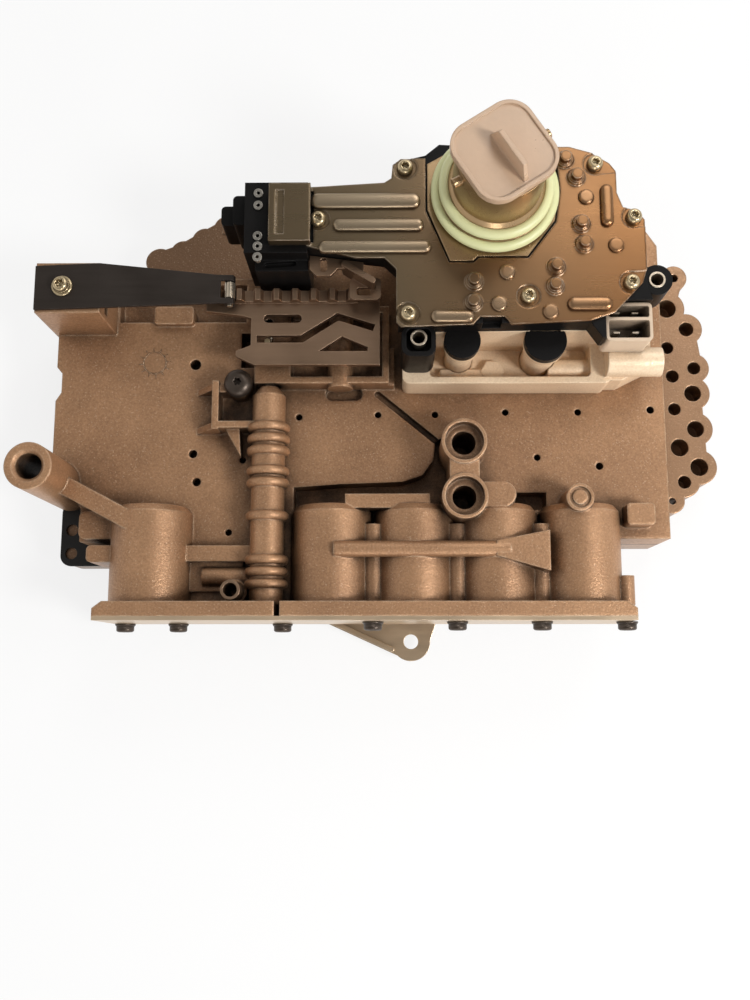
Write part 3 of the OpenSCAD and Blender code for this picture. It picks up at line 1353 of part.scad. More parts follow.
module upper_seal() {
    color([0.76, 0.82, 0.54])
    difference() {
        seal_ring(shell_r + 5.4, cover_z + 6.82);
        translate([plug_x, plug_y, cover_z]) cylinder(h = 6.82, r = seal_r);
        translate([plug_x, plug_y, cover_z + 6.8]) cylinder(h = 4.2, r1 = shell_r + 3.02,
            r2 = shell_r + 1.62);
        translate([plug_x, plug_y, cover_z + 10.9]) cylinder(h = 3, r = shell_r + 1.7);
    }
}

// Push-in dust cap with a pull fin
module dust_cap() {
    z = cover_z + shell_h;
    color([0.84, 0.76, 0.69])
    translate([plug_x, plug_y, z]) rotate([0, 0, cap_turn])
    union() {
        difference() {
            round_block(-cap_w / 2, cap_w / 2, -cap_w / 2, cap_w / 2, 0, cap_t, cap_corner);
            round_block(-cap_w / 2 + 1.6, cap_w / 2 - 1.6, -cap_w / 2 + 1.6, cap_w / 2 - 1.6,
                cap_t - 0.8, cap_t + lap, cap_corner - 1.6);
        }
        difference() {
            translate([0, 0, -6]) cylinder(h = 6 + lap, r = shell_r - shell_wall - 0.3);
            translate([0, 0, -6 - lap]) cylinder(h = 6 + lap, r = shell_r - shell_wall - 2.1);
        }
        rotate([90, 0, 90]) translate([0, 0, -1]) linear_extrude(2)
            polygon([[-cap_w * 0.42, cap_t - lap], [cap_w * 0.24, cap_t - lap], [cap_w * 0.12, cap_t + fin_h],
                [-cap_w * 0.34, cap_t + fin_h]]);
    }
}

transfer_plate();
separator_plate();
valve_body();
check_balls();
plate_screws();
accumulator_cover();
cover_screws();
accumulator_piston(0);  // accumulator_piston_1
accumulator_piston(1);  // accumulator_piston_2
accumulator_piston(2);  // accumulator_piston_3
accumulator_piston(3);  // accumulator_piston_4
accumulator_piston(4);  // accumulator_piston_5
piston_seal(0);  // piston_seal_1
piston_seal(1);  // piston_seal_2
piston_seal(2);  // piston_seal_3
piston_seal(3);  // piston_seal_4
piston_seal(4);  // piston_seal_5
accumulator_spring(0);  // accumulator_spring_1
accumulator_spring(1);  // accumulator_spring_2
accumulator_spring(2);  // accumulator_spring_3
accumulator_spring(3);  // accumulator_spring_4
accumulator_spring(4);  // accumulator_spring_5
switch_valve();
switch_valve_spring();
reverse_valve();
reverse_valve_spring();
bore_plug();
manual_valve();
selector_plate();
link_pin();
detent_spring();
detent_roller();
roller_pin();
detent_screw();
guide_screw();
alignment_sleeve();
support_bracket();
bracket_screws();
solenoid_housing();
solenoid_cans();
can_collars();
solenoid_carrier();
pack_bushings();
solenoid_cover();
pack_screws();
range_sensor();
sensor_eyelets();
guide_bracket();
terminal_frame();
terminal_blades();
connector_shell();
connector_pins();
lower_seal();
upper_seal();
dust_cap();
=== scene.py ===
"""Looks of a transmission valve body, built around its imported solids."""

import math
from typing import NamedTuple

import bmesh
import bpy
from bpy.props import FloatProperty, FloatVectorProperty, PointerProperty
from mathutils import Matrix, Vector


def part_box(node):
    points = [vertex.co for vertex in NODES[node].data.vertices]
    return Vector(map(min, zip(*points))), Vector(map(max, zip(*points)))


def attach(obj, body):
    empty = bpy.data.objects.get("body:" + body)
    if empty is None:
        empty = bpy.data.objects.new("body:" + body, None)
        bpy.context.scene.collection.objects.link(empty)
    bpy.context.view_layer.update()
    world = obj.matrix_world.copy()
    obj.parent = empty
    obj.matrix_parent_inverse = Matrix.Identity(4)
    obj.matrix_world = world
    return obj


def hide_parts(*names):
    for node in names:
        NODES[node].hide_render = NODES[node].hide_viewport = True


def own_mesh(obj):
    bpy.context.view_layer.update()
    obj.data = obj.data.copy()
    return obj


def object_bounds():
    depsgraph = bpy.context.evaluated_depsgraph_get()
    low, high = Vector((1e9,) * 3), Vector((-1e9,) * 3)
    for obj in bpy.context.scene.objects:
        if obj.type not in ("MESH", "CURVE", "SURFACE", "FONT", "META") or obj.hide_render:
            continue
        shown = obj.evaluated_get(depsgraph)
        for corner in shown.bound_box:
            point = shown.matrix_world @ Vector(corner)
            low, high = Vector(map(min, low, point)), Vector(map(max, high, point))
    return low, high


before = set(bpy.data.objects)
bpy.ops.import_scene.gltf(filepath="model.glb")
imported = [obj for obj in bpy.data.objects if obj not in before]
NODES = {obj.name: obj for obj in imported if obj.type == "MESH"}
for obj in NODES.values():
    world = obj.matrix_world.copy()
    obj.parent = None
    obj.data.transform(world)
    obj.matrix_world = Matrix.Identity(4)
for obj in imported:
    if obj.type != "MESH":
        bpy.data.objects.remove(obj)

bl_info = {
    "name": "Valve body dresser",
    "version": (1, 0, 0),
    "blender": (4, 5, 0),
    "location": "View3D > Sidebar > Valve body",
    "description": "Gives the solids of a transmission valve body their finishes, small parts and studio",
    "category": "Object",
}

CAD_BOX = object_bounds()
MM = 0.001


def shade(red, green, blue):
    """A display colour of 0 to 255 as scene-linear values."""
    def linear(value):
        value /= 255.0
        return value / 12.92 if value <= 0.04045 else ((value + 0.055) / 1.055) ** 2.4
    return (linear(red), linear(green), linear(blue))


def toned(tone, share, lift=0.0):
    """A colour made darker or lighter by a share, then lifted, up to white."""
    return tuple(min(1.0, value * share + lift) for value in tone)


# Settings


def colour(name, description, rgb):
    """A colour property with a display-colour default."""
    return FloatVectorProperty(name=name, description=description, subtype="COLOR", size=3,
                               min=0.0, max=1.0, default=shade(*rgb))


def length(name, description, value):
    """A length property in metres."""
    return FloatProperty(name=name, description=description, subtype="DISTANCE", unit="LENGTH",
                         min=0.0, default=value)


def spot(name, description, value):
    """A place property in metres."""
    return FloatVectorProperty(name=name, description=description, subtype="TRANSLATION",
                               unit="LENGTH", size=3, default=value)


def power(name, description, value):
    """A lamp's power property."""
    return FloatProperty(name=name, description=description, unit="POWER", min=0.0, default=value)


def level(name, description, value):
    """A brightness property from 0 to 1."""
    return FloatProperty(name=name, description=description, subtype="FACTOR",
                         min=0.0, max=1.0, default=value)


class CastingSettings(bpy.types.PropertyGroup):
    """Colours, grain and corners of the two castings."""
    body_dark: colour("Body shade", "Darker tone of the main casting", (140, 104, 75))
    body_light: colour("Body light", "Lighter tone of the main casting", (196, 151, 112))
    plate_left: colour("Plate left", "Tone of the transfer plate on its left", (138, 106, 80))
    # Painted light: the plate turns from its left tone to this warm lit tone on its right.
    plate_lit_right: colour("Plate right", "Tone of the transfer plate on its right", (184, 144, 110))
    # Painted shade: the dark colour put into corners and recesses, partly also oil.
    grime_and_shade: colour("Grime", "Oil film in corners", (30, 21, 15))
    # Painted highlight: the bright colour put on edges, partly also rubbed metal; it also colours the
    # specks.
    worn_and_lit: colour("Worn edge", "Bright metal on rubbed edges and specks", (228, 198, 166))
    grain: length("Grain size", "Size of the cast skin's grain", 0.0009)
    grain_depth: length("Grain depth", "Depth of the cast skin's grain", 0.0002)
    soft: length("Soft corner", "Radius that softens cast edges and inner corners", 0.0017)
    clock_at: spot("Casting clock", "Centre of the plain cast ring on the deck",
                   (-0.0979, 0.0319, 0.040))


class PackSettings(bpy.types.PropertyGroup):
    """Colours of the solenoid pack."""
    housing_dark: colour("Housing shade", "Darker tone of the pale housing", (216, 186, 152))
    housing_light: colour("Housing light", "Lighter tone of the pale housing", (248, 224, 192))
    # Painted reflection: the cover goes from the darker arm tone to a lit warm tone at the far edge; the
    # pressings' lighter tones are painted highlights.
    cover_left: colour("Cover left", "Cover tone on the arm", (122, 105, 81))
    cover_lit_right: colour("Cover right", "Cover tone at the far edge", (148, 105, 67))
    pressing_highlight_left: colour("Pressings left", "Painted highlight on the arm's pressings", (170, 151, 125))
    pressing_highlight_right: colour("Pressings right", "Painted highlight on the far pressings", (156, 113, 75))
    plastic: colour("Black plastic", "Carrier, sensor and collars", (13, 11, 10))
    frame_tone: colour("Terminal frame", "Pale two-cell socket", (212, 188, 162))
    seal: colour("Seal ring", "Pale green elastomer", (214, 214, 162))
    shell: colour("Connector shell", "Bronze satin shell", (178, 148, 110))
    cap: colour("Dust cap", "Milky plastic", (214, 182, 152))


class SteelSettings(bpy.types.PropertyGroup):
    """Colours of the steel pieces and of the rubber seals among them."""
    bright: colour("Turned steel", "Spools, roller and bushings", (206, 190, 168))
    eyelet: colour("Eyelet steel", "Small pressed rings", (168, 162, 152))
    leaf: colour("Leaf spring", "Dark tempered strip", (54, 46, 40))
    selector: colour("Selector steel", "Stamped plate with an oil film", (150, 122, 98))
    front_cover: colour("Front cover", "Accumulator cover sheet", (206, 181, 151))
    zinc: colour("Zinc screw", "Yellowish plated screws", (194, 174, 138))
    dark: colour("Dark screw", "Black oxide screws", (74, 63, 54))
    coated: colour("Coated sheet", "Black separator plate", (22, 20, 18))
    wire: colour("Spring wire", "Drawn wire", (150, 144, 136))
    pins: colour("Contact pins", "Plated brass", (214, 178, 104))
    rubber: colour("Piston seal", "Black rubber", (24, 23, 22))


class StageSettings(bpy.types.PropertyGroup):
    """Camera, lamps and floor."""
    camera_at: spot("Camera", "Place of the camera", (0.008023, -0.105567, 0.483975))
    camera_turn: FloatVectorProperty(
        name="Camera turn", description="Rotation of the camera", subtype="EULER", unit="ROTATION",
        size=3, default=(math.radians(9.3694), math.radians(0.5653), 0.0))
    lens: FloatProperty(name="Lens", description="Focal length in millimetres on a 36 mm sensor",
                        unit="CAMERA", min=10.0, default=36.0)
    floor_tone: colour("Floor", "Pale floor", (244, 243, 241))
    key_power: power("Key lamp", "Power of the main lamp", 8.0)
    fill_power: power("Fill lamp", "Power of the fill lamp", 0.8)
    rim_power: power("Back lamp", "Power of the lamp behind", 3.2)
    front_power: power("Front lamp", "Power of the low lamp in front", 2.4)
    sky_low: level("Low sky", "Brightness of the backdrop near the floor", 0.9)
    sky_high: level("High sky", "Brightness of the backdrop overhead", 0.27)


# Node helpers


def make_group(name, inputs, outputs):
    """A new shader group with its sockets: returns the group, its in node and its out node."""
    group = bpy.data.node_groups.new(name, "ShaderNodeTree")
    for label, kind, default in inputs:
        socket = group.interface.new_socket(name=label, in_out="INPUT", socket_type=kind)
        socket.default_value = default
    for label, kind in outputs:
        group.interface.new_socket(name=label, in_out="OUTPUT", socket_type=kind)
    return group, group.nodes.new("NodeGroupInput"), group.nodes.new("NodeGroupOutput")


def feed(tree, value, socket):
    """Links a socket to an input, or sets the input to a number."""
    if isinstance(value, (int, float)):
        socket.default_value = value
    else:
        tree.links.new(value, socket)


def math_node(tree, operation, first, second):
    """A math node; each operand is a socket or a number."""
    node = tree.nodes.new("ShaderNodeMath")
    node.operation = operation
    feed(tree, first, node.inputs[0])
    feed(tree, second, node.inputs[1])
    return node.outputs[0]


def scaled(tree, value, share):
    """A value times a share."""
    return math_node(tree, "MULTIPLY", value, share)


def weighted(tree, first, first_share, second, second_share):
    """The sum of two values, each times its share."""
    return math_node(tree, "ADD", scaled(tree, first, first_share), scaled(tree, second, second_share))


def spread(tree, value, low, high, to_low=0.0, to_high=1.0):
    """A clamped map of a value from one range to another."""
    node = tree.nodes.new("ShaderNodeMapRange")
    tree.links.new(value, node.inputs["Value"])
    numbers = {"From Min": low, "From Max": high, "To Min": to_low, "To Max": to_high}
    for label, number in numbers.items():
        node.inputs[label].default_value = number
    return node.outputs[0]


def noise(tree, vector, scale, detail, roughness):
    """A noise texture's value at a place; the scale is a socket or a number."""
    node = tree.nodes.new("ShaderNodeTexNoise")
    tree.links.new(vector, node.inputs["Vector"])
    node.inputs["Detail"].default_value = detail
    node.inputs["Roughness"].default_value = roughness
    feed(tree, scale, node.inputs["Scale"])
    return node.outputs["Fac"]


def object_place(tree):
    """The place on the object."""
    return tree.nodes.new("ShaderNodeTexCoord").outputs["Object"]


def sized_noise(tree, size, per_size, detail, roughness):
    """Noise whose patches follow a size socket."""
    scale = math_node(tree, "DIVIDE", per_size, size)
    return noise(tree, object_place(tree), scale, detail, roughness)


def blend_colour(tree, share, first, second):
    """A mix of two colours by a share; each colour is a socket or plain values."""
    node = tree.nodes.new("ShaderNodeMix")
    node.data_type = "RGBA"
    feed(tree, share, node.inputs["Factor"])
    for label, value in (("A", first), ("B", second)):
        socket = next(s for s in node.inputs if s.name == label and s.type == "RGBA")
        if isinstance(value, bpy.types.NodeSocket):
            tree.links.new(value, socket)
        else:
            socket.default_value = (*value, 1.0)
    return next(s for s in node.outputs if s.type == "RGBA")


# Shader groups shared by the finishes

FLOAT = "NodeSocketFloat"
VECTOR = "NodeSocketVector"
ROUNDING_SAMPLES = 6
WEAR_AND_HIGHLIGHT_SAMPLES = 4
GRIME_AND_SHADE_SAMPLES = 4


def cast_grain_group():
    """Grain height, mottled tone and bright specks of a cast or moulded skin."""
    group, inside, outside = make_group(
        "Cast grain",
        [("Size", FLOAT, 0.001), ("Mottle size", FLOAT, 0.02)],
        [("Height", FLOAT), ("Mottle", FLOAT), ("Specks", FLOAT)],
    )
    size = inside.outputs["Size"]
    fine = sized_noise(group, size, per_size=1.0, detail=3.0, roughness=0.6)
    coarse = sized_noise(group, size, per_size=0.3, detail=2.0, roughness=0.5)
    specks = sized_noise(group, size, per_size=1.25, detail=1.0, roughness=0.4)
    patches = sized_noise(group, inside.outputs["Mottle size"], per_size=1.0, detail=4.0, roughness=0.55)
    height = weighted(group, fine, 0.7, coarse, 0.5)
    tone = weighted(group, spread(group, patches, low=0.28, high=0.72), 0.5,
                    spread(group, fine, low=0.3, high=0.7), 0.5)
    group.links.new(height, outside.inputs["Height"])
    group.links.new(tone, outside.inputs["Mottle"])
    group.links.new(spread(group, specks, low=0.64, high=0.76), outside.inputs["Specks"])
    return group


def rounded_group():
    """Normal that rounds edges and fills inner corners."""
    group, inside, outside = make_group("Rounded edges", [("Radius", FLOAT, 0.001)], [("Normal", VECTOR)])
    bevel = group.nodes.new("ShaderNodeBevel")
    bevel.samples = ROUNDING_SAMPLES
    group.links.new(inside.outputs["Radius"], bevel.inputs["Radius"])
    group.links.new(bevel.outputs["Normal"], outside.inputs["Normal"])
    return group


def wear_and_highlight_group():
    """Mask of edges broken up by noise, standing for rubbed edges and for painted edge highlights."""
    group, inside, outside = make_group(
        "Edge wear", [("Radius", FLOAT, 0.001), ("Patch size", FLOAT, 0.004)], [("Mask", FLOAT)],
    )
    bevel = group.nodes.new("ShaderNodeBevel")
    bevel.samples = WEAR_AND_HIGHLIGHT_SAMPLES
    group.links.new(inside.outputs["Radius"], bevel.inputs["Radius"])
    dot = group.nodes.new("ShaderNodeVectorMath")
    dot.operation = "DOT_PRODUCT"
    group.links.new(bevel.outputs["Normal"], dot.inputs[0])
    group.links.new(group.nodes.new("ShaderNodeNewGeometry").outputs["Normal"], dot.inputs[1])
    bend = spread(group, dot.outputs["Value"], low=0.995, high=0.86)
    patches = sized_noise(group, inside.outputs["Patch size"], per_size=1.0, detail=4.0, roughness=0.6)
    # Painted highlight: this edge mask lightens edges the way light glints on them, and partly stands for
    # rubbed metal.
    mask = math_node(group, "MULTIPLY", bend, spread(group, patches, low=0.34, high=0.62))
    group.links.new(mask, outside.inputs["Mask"])
    return group


def grime_and_shade_group():
    """Mask of painted shade where surfaces close in, which also stands for oil gathered there."""
    group, inside, outside = make_group(
        "Crevice grime", [("Reach", FLOAT, 0.008), ("Patch size", FLOAT, 0.012)], [("Mask", FLOAT)],
    )
    # Painted shade: ambient occlusion darkens corners, recesses and the ground beside tall parts.
    shadow = group.nodes.new("ShaderNodeAmbientOcclusion")
    shadow.samples = GRIME_AND_SHADE_SAMPLES
    group.links.new(inside.outputs["Reach"], shadow.inputs["Distance"])
    closed = spread(group, shadow.outputs["AO"], low=0.86, high=0.3)
    patches = sized_noise(group, inside.outputs["Patch size"], per_size=1.0, detail=4.0, roughness=0.6)
    share = spread(group, patches, low=0.25, high=0.6, to_low=0.45, to_high=1.0)
    group.links.new(math_node(group, "MULTIPLY", closed, share), outside.inputs["Mask"])
    return group


def brushed_group():
    """Fine lines of rolled or turned metal, drawn out along one axis."""
    group, inside, outside = make_group(
        "Brushed lines", [("Stretch", VECTOR, (20.0, 900.0, 900.0))], [("Height", FLOAT), ("Tone", FLOAT)],
    )
    place = object_place(group)
    stretch = group.nodes.new("ShaderNodeVectorMath")
    stretch.operation = "MULTIPLY"
    group.links.new(place, stretch.inputs[0])
    group.links.new(inside.outputs["Stretch"], stretch.inputs[1])
    lines = noise(group, stretch.outputs[0], scale=1.0, detail=4.0, roughness=0.6)
    smear = noise(group, place, scale=45.0, detail=3.0, roughness=0.5)
    tone = weighted(group, lines, 0.5, spread(group, smear, low=0.2, high=0.8), 0.5)
    group.links.new(lines, outside.inputs["Height"])
    group.links.new(tone, outside.inputs["Tone"])
    return group


def painted_side_light_group():
    """Painted light: a soft change of tone from one X to another, with an uneven border."""
    group, inside, outside = make_group(
        "Side tint", [("From", FLOAT, 0.0), ("To", FLOAT, 0.1)], [("Factor", FLOAT)],
    )
    place = object_place(group)
    split = group.nodes.new("ShaderNodeSeparateXYZ")
    group.links.new(place, split.inputs[0])
    drift = scaled(group, noise(group, place, scale=14.0, detail=2.0, roughness=0.5), 0.03)
    across = math_node(group, "ADD", split.outputs["X"], drift)
    along = math_node(group, "SUBTRACT", across, inside.outputs["From"])
    span = math_node(group, "SUBTRACT", inside.outputs["To"], inside.outputs["From"])
    share = spread(group, math_node(group, "DIVIDE", along, span), low=0.0, high=1.0)
    group.links.new(share, outside.inputs["Factor"])
    return group


GROUP_MAKERS = {
    "Cast grain": cast_grain_group,
    "Rounded edges": rounded_group,
    "Edge wear": wear_and_highlight_group,
    "Crevice grime": grime_and_shade_group,
    "Brushed lines": brushed_group,
    "Side tint": painted_side_light_group,
}


def place_group(tree, name, **values):
    """Puts a shared group in a material, with its own input values."""
    node = tree.nodes.new("ShaderNodeGroup")
    node.node_tree = bpy.data.node_groups.get(name) or GROUP_MAKERS[name]()
    for label, value in values.items():
        node.inputs[label.replace("_", " ")].default_value = value
    return node


def relief(tree, height, depth, soft):
    """A normal that carries a fine relief over softened edges."""
    node = tree.nodes.new("ShaderNodeBump")
    node.inputs["Distance"].default_value = depth
    tree.links.new(height, node.inputs["Height"])
    rounded = place_group(tree, "Rounded edges", Radius=soft)
    tree.links.new(rounded.outputs["Normal"], node.inputs["Normal"])
    return node.outputs["Normal"]


def new_material(name):
    """A material with only its shader: returns the material, its tree and the shader."""
    material = bpy.data.materials.new(name)
    material.use_nodes = True
    tree = material.node_tree
    return material, tree, tree.nodes["Principled BSDF"]


# Finishes. Rough is the roughness at both ends of a finish's tone.


def cast_finish(name, dark, light, settings, metallic=0.5, rough=(0.34, 0.5), grime_and_shade=0.95, wear_and_highlight=0.5,
                specks=0.4, soft=None, painted_light=None):
    """Die-cast alloy: grained skin with specks, rubbed edges with painted highlights, and painted shade in
    corners that also stands for oil; painted light may make it warmer to the right.
    """
    material, tree, shader = new_material(name)
    radius = settings.soft if soft is None else soft
    skin = place_group(tree, "Cast grain", Size=settings.grain, Mottle_size=0.03)
    shaded_film = place_group(tree, "Crevice grime", Reach=0.018, Patch_size=0.014)
    worn_and_lit = place_group(tree, "Edge wear", Radius=radius * 0.6, Patch_size=0.005)
    mottle = skin.outputs["Mottle"]
    tone = blend_colour(tree, mottle, dark, light)
    # Painted light: a warm lit tone spread over the right side.
    if painted_light is not None:
        side = place_group(tree, "Side tint", From=-0.1, To=0.1)
        glow = blend_colour(tree, mottle, toned(painted_light, 0.7), painted_light)
        tone = blend_colour(tree, side.outputs["Factor"], tone, glow)
    tone = blend_colour(tree, scaled(tree, skin.outputs["Specks"], specks), tone, settings.worn_and_lit)
    # Painted highlight on edges, partly also rubbed metal.
    tone = blend_colour(tree, scaled(tree, worn_and_lit.outputs["Mask"], wear_and_highlight), tone, settings.worn_and_lit)
    # Painted shade in corners and recesses, partly also oil.
    tone = blend_colour(tree, scaled(tree, shaded_film.outputs["Mask"], grime_and_shade), tone, settings.grime_and_shade)
    roughness = spread(tree, mottle, low=0.0, high=1.0, to_low=rough[1], to_high=rough[0])
    tree.links.new(tone, shader.inputs["Base Color"])
    tree.links.new(roughness, shader.inputs["Roughness"])
    normal = relief(tree, skin.outputs["Height"], settings.grain_depth, radius)
    tree.links.new(normal, shader.inputs["Normal"])
    shader.inputs["Metallic"].default_value = metallic
    return material


def steel_finish(name, tone, stretch=(40.0, 900.0, 900.0), rough=(0.24, 0.4), metallic=0.9, grime_and_shade=0.6,
                 wear_and_highlight=0.35, wear_and_highlight_radius=0.0005, line_depth=0.00003, soft=0.0004):
    """Turned, rolled or plated steel: fine lines, smears, rubbed edges with painted highlights and painted
    shade in corners.
    """
    material, tree, shader = new_material(name)
    brushed = place_group(tree, "Brushed lines", Stretch=stretch)
    shaded_film = place_group(tree, "Crevice grime", Reach=0.005, Patch_size=0.008)
    worn_and_lit = place_group(tree, "Edge wear", Radius=wear_and_highlight_radius, Patch_size=0.003)
    lines = brushed.outputs["Tone"]
    shown = blend_colour(tree, lines, toned(tone, 0.78), toned(tone, 1.18, 0.01))
    # Painted highlight: edges lightened, partly also rubbed metal.
    shown = blend_colour(tree, scaled(tree, worn_and_lit.outputs["Mask"], wear_and_highlight), shown, toned(tone, 1.6, 0.05))
    # Painted shade: corners darkened, partly also oil.
    shown = blend_colour(tree, scaled(tree, shaded_film.outputs["Mask"], grime_and_shade), shown, toned(tone, 0.18))
    roughness = spread(tree, lines, low=0.2, high=0.8, to_low=rough[0], to_high=rough[1])
    tree.links.new(shown, shader.inputs["Base Color"])
    tree.links.new(roughness, shader.inputs["Roughness"])
    tree.links.new(relief(tree, brushed.outputs["Height"], line_depth, soft), shader.inputs["Normal"])
    shader.inputs["Metallic"].default_value = metallic
    return material


COVER_SMEAR = (0.06, 0.045, 0.03)
COVER_RUBBED_AND_LIT = (0.8, 0.66, 0.52)
COVER_SHADED_FILM = (0.03, 0.022, 0.014)


def cover_finish(name, left, right):
    """Rolled sheet with a painted reflection whose tone goes from the arm to a warmer far edge, with painted
    highlights on its edges and painted shade in its corners.
    """
    material, tree, shader = new_material(name)
    brushed = place_group(tree, "Brushed lines", Stretch=(30.0, 600.0, 600.0))
    side = place_group(tree, "Side tint", From=0.02, To=0.12)
    shaded_film = place_group(tree, "Crevice grime", Reach=0.003, Patch_size=0.01)
    worn_and_lit = place_group(tree, "Edge wear", Radius=0.0007, Patch_size=0.006)
    lines = brushed.outputs["Tone"]
    # Painted reflection: the tone shifts across X from the arm to the far edge.
    tone = blend_colour(tree, side.outputs["Factor"], left, right)
    smear = spread(tree, lines, low=0.2, high=0.8, to_low=0.0, to_high=0.16)
    tone = blend_colour(tree, smear, tone, COVER_SMEAR)
    # Painted highlight on the edges, partly also rubbed metal.
    tone = blend_colour(tree, scaled(tree, worn_and_lit.outputs["Mask"], 0.65), tone, COVER_RUBBED_AND_LIT)
    # Painted shade in the corners.
    tone = blend_colour(tree, scaled(tree, shaded_film.outputs["Mask"], 0.5), tone, COVER_SHADED_FILM)
    roughness = spread(tree, lines, low=0.2, high=0.8, to_low=0.24, to_high=0.34)
    tree.links.new(tone, shader.inputs["Base Color"])
    tree.links.new(roughness, shader.inputs["Roughness"])
    normal = relief(tree, brushed.outputs["Height"], depth=0.000005, soft=0.0013)
    tree.links.new(normal, shader.inputs["Normal"])
    shader.inputs["Metallic"].default_value = 0.9
    return material


def plastic_finish(name, tone, rough=(0.3, 0.46), grain=0.0006, metallic=0.0, grime_and_shade=0.0, shine=0.5,
                   below=None):
    """Moulded plastic, rubber or satin plating, with painted highlights on edges and a share of painted
    shade in corners; below is another tone and the height it ends at.
    """
    material, tree, shader = new_material(name)
    skin = place_group(tree, "Cast grain", Size=grain, Mottle_size=0.014)
    worn_and_lit = place_group(tree, "Edge wear", Radius=0.0006, Patch_size=0.004)
    mottle = skin.outputs["Mottle"]
    dust = spread(tree, mottle, low=0.1, high=0.9, to_low=0.0, to_high=0.5)
    shown = blend_colour(tree, dust, tone, toned(tone, 0.9, 0.004))
    if below is not None:
        other, height = below
        split = tree.nodes.new("ShaderNodeSeparateXYZ")
        tree.links.new(object_place(tree), split.inputs[0])
        above = spread(tree, split.outputs["Z"], low=height - 0.1 * MM, high=height + 0.1 * MM)
        shown = blend_colour(tree, above, other, shown)
    # Painted highlight on edges, partly also rubbed.
    shown = blend_colour(tree, scaled(tree, worn_and_lit.outputs["Mask"], 0.2), shown, toned(tone, 1.4, 0.04))
    if grime_and_shade > 0.0:
        # Painted shade: corners darkened by the given share.
        shaded_film = place_group(tree, "Crevice grime", Reach=0.009, Patch_size=0.01)
        shown = blend_colour(tree, scaled(tree, shaded_film.outputs["Mask"], grime_and_shade), shown, toned(tone, 0.06))
    roughness = spread(tree, mottle, low=0.0, high=1.0, to_low=rough[0], to_high=rough[1])
    tree.links.new(shown, shader.inputs["Base Color"])
    tree.links.new(roughness, shader.inputs["Roughness"])
    normal = relief(tree, skin.outputs["Height"], depth=0.00005, soft=0.0006)
    tree.links.new(normal, shader.inputs["Normal"])
    shader.inputs["Metallic"].default_value = metallic
    shader.inputs["Specular IOR Level"].default_value = shine
    return material


def milky_finish(name, tone):
    """Thin milky polyethylene that lets some light through."""
    material, tree, shader = new_material(name)
    skin = place_group(tree, "Cast grain", Size=0.002, Mottle_size=0.012)
    mottle = skin.outputs["Mottle"]
    cloud = spread(tree, mottle, low=0.2, high=0.9, to_low=0.0, to_high=0.5)
    roughness = spread(tree, mottle, low=0.0, high=1.0, to_low=0.26, to_high=0.36)
    tree.links.new(blend_colour(tree, cloud, tone, toned(tone, 0.9)), shader.inputs["Base Color"])
    tree.links.new(roughness, shader.inputs["Roughness"])
    normal = relief(tree, skin.outputs["Height"], depth=0.00006, soft=0.0008)
    tree.links.new(normal, shader.inputs["Normal"])
    shader.inputs["Transmission Weight"].default_value = 0.2
    shader.inputs["IOR"].default_value = 1.48
    return material


# Working on the solids


def dress(material, *nodes):
    """Gives solids their finish."""
    for node in nodes:
        slots = NODES[node].data.materials
        slots.clear()
        slots.append(material)


def finish_mesh(work, name):
    """A mesh from the work, with its faces turned outward."""
    bmesh.ops.recalc_face_normals(work, faces=work.faces)
    mesh = bpy.data.meshes.new(name)
    work.to_mesh(mesh)
    work.free()
    return mesh


def add_piece(name, work, material):
    """Adds a new smooth piece that moves with the base."""
    mesh = finish_mesh(work, name)
    mesh.materials.append(material)
    for face in mesh.polygons:
        face.use_smooth = True
    piece = bpy.data.objects.new(name, mesh)
    bpy.context.scene.collection.objects.link(piece)
    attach(piece, "base")
    return piece


def solid_boxes(node):
    """Low and high corner of each separate solid in a node, in X order."""
    work = bmesh.new()
    work.from_mesh(NODES[node].data)
    bmesh.ops.remove_doubles(work, verts=work.verts, dist=0.002 * MM)
    left = set(work.verts)
    found = []
    while left:
        stack = [left.pop()]
        group = list(stack)
        while stack:
            vert = stack.pop()
            for edge in vert.link_edges:
                other = edge.other_vert(vert)
                if other in left:
                    left.remove(other)
                    stack.append(other)
                    group.append(other)
        low = Vector([min(v.co[i] for v in group) for i in range(3)])
        high = Vector([max(v.co[i] for v in group) for i in range(3)])
        found.append((low, high))
    work.free()
    return sorted(found, key=lambda box: (round(box[0].x + box[1].x, 5), box[0].y + box[1].y))


# New shapes

RING_STEPS = 48
SOCKET_LOBES = 6
DOME_STEPS = 5
PRESSING_RINGS = 11
PRESSING_ARC = 16
TURN_STEPS = 30
WIRE_STEPS = 10


def skin_loops(work, loops, capped=True):
    """Quads between loops that follow each other; the ends may be capped."""
    for low, high in zip(loops, loops[1:]):
        for k in range(len(low)):
            after = (k + 1) % len(low)
            work.faces.new((low[k], low[after], high[after], high[k]))
    if capped:
        work.faces.new(tuple(reversed(loops[0])))
        work.faces.new(tuple(loops[-1]))


def ring_loop(work, centre, radius, height, turn=None, swell=0.0):
    """A closed loop of vertices around an axis; a swell gives it lobes."""
    basis = turn or Matrix.Identity(3)
    loop = []
    for k in range(RING_STEPS):
        angle = 2.0 * math.pi * k / RING_STEPS
        reach = radius * (1.0 + swell * math.cos(SOCKET_LOBES * angle))
        spoke = Vector((reach * math.cos(angle), reach * math.sin(angle), height))
        loop.append(work.verts.new(Vector(centre) + basis @ spoke))
    return loop


class ScrewStyle(NamedTuple):
    """Sizes of a screw in millimetres; dome is the rounded share of its head."""
    head_height: float
    socket_radius: float
    shank_radius: float
    dome: float
    inset: float = 0.0      # head inside its flange; none without a flange
    forward: bool = False   # head to the front instead of up


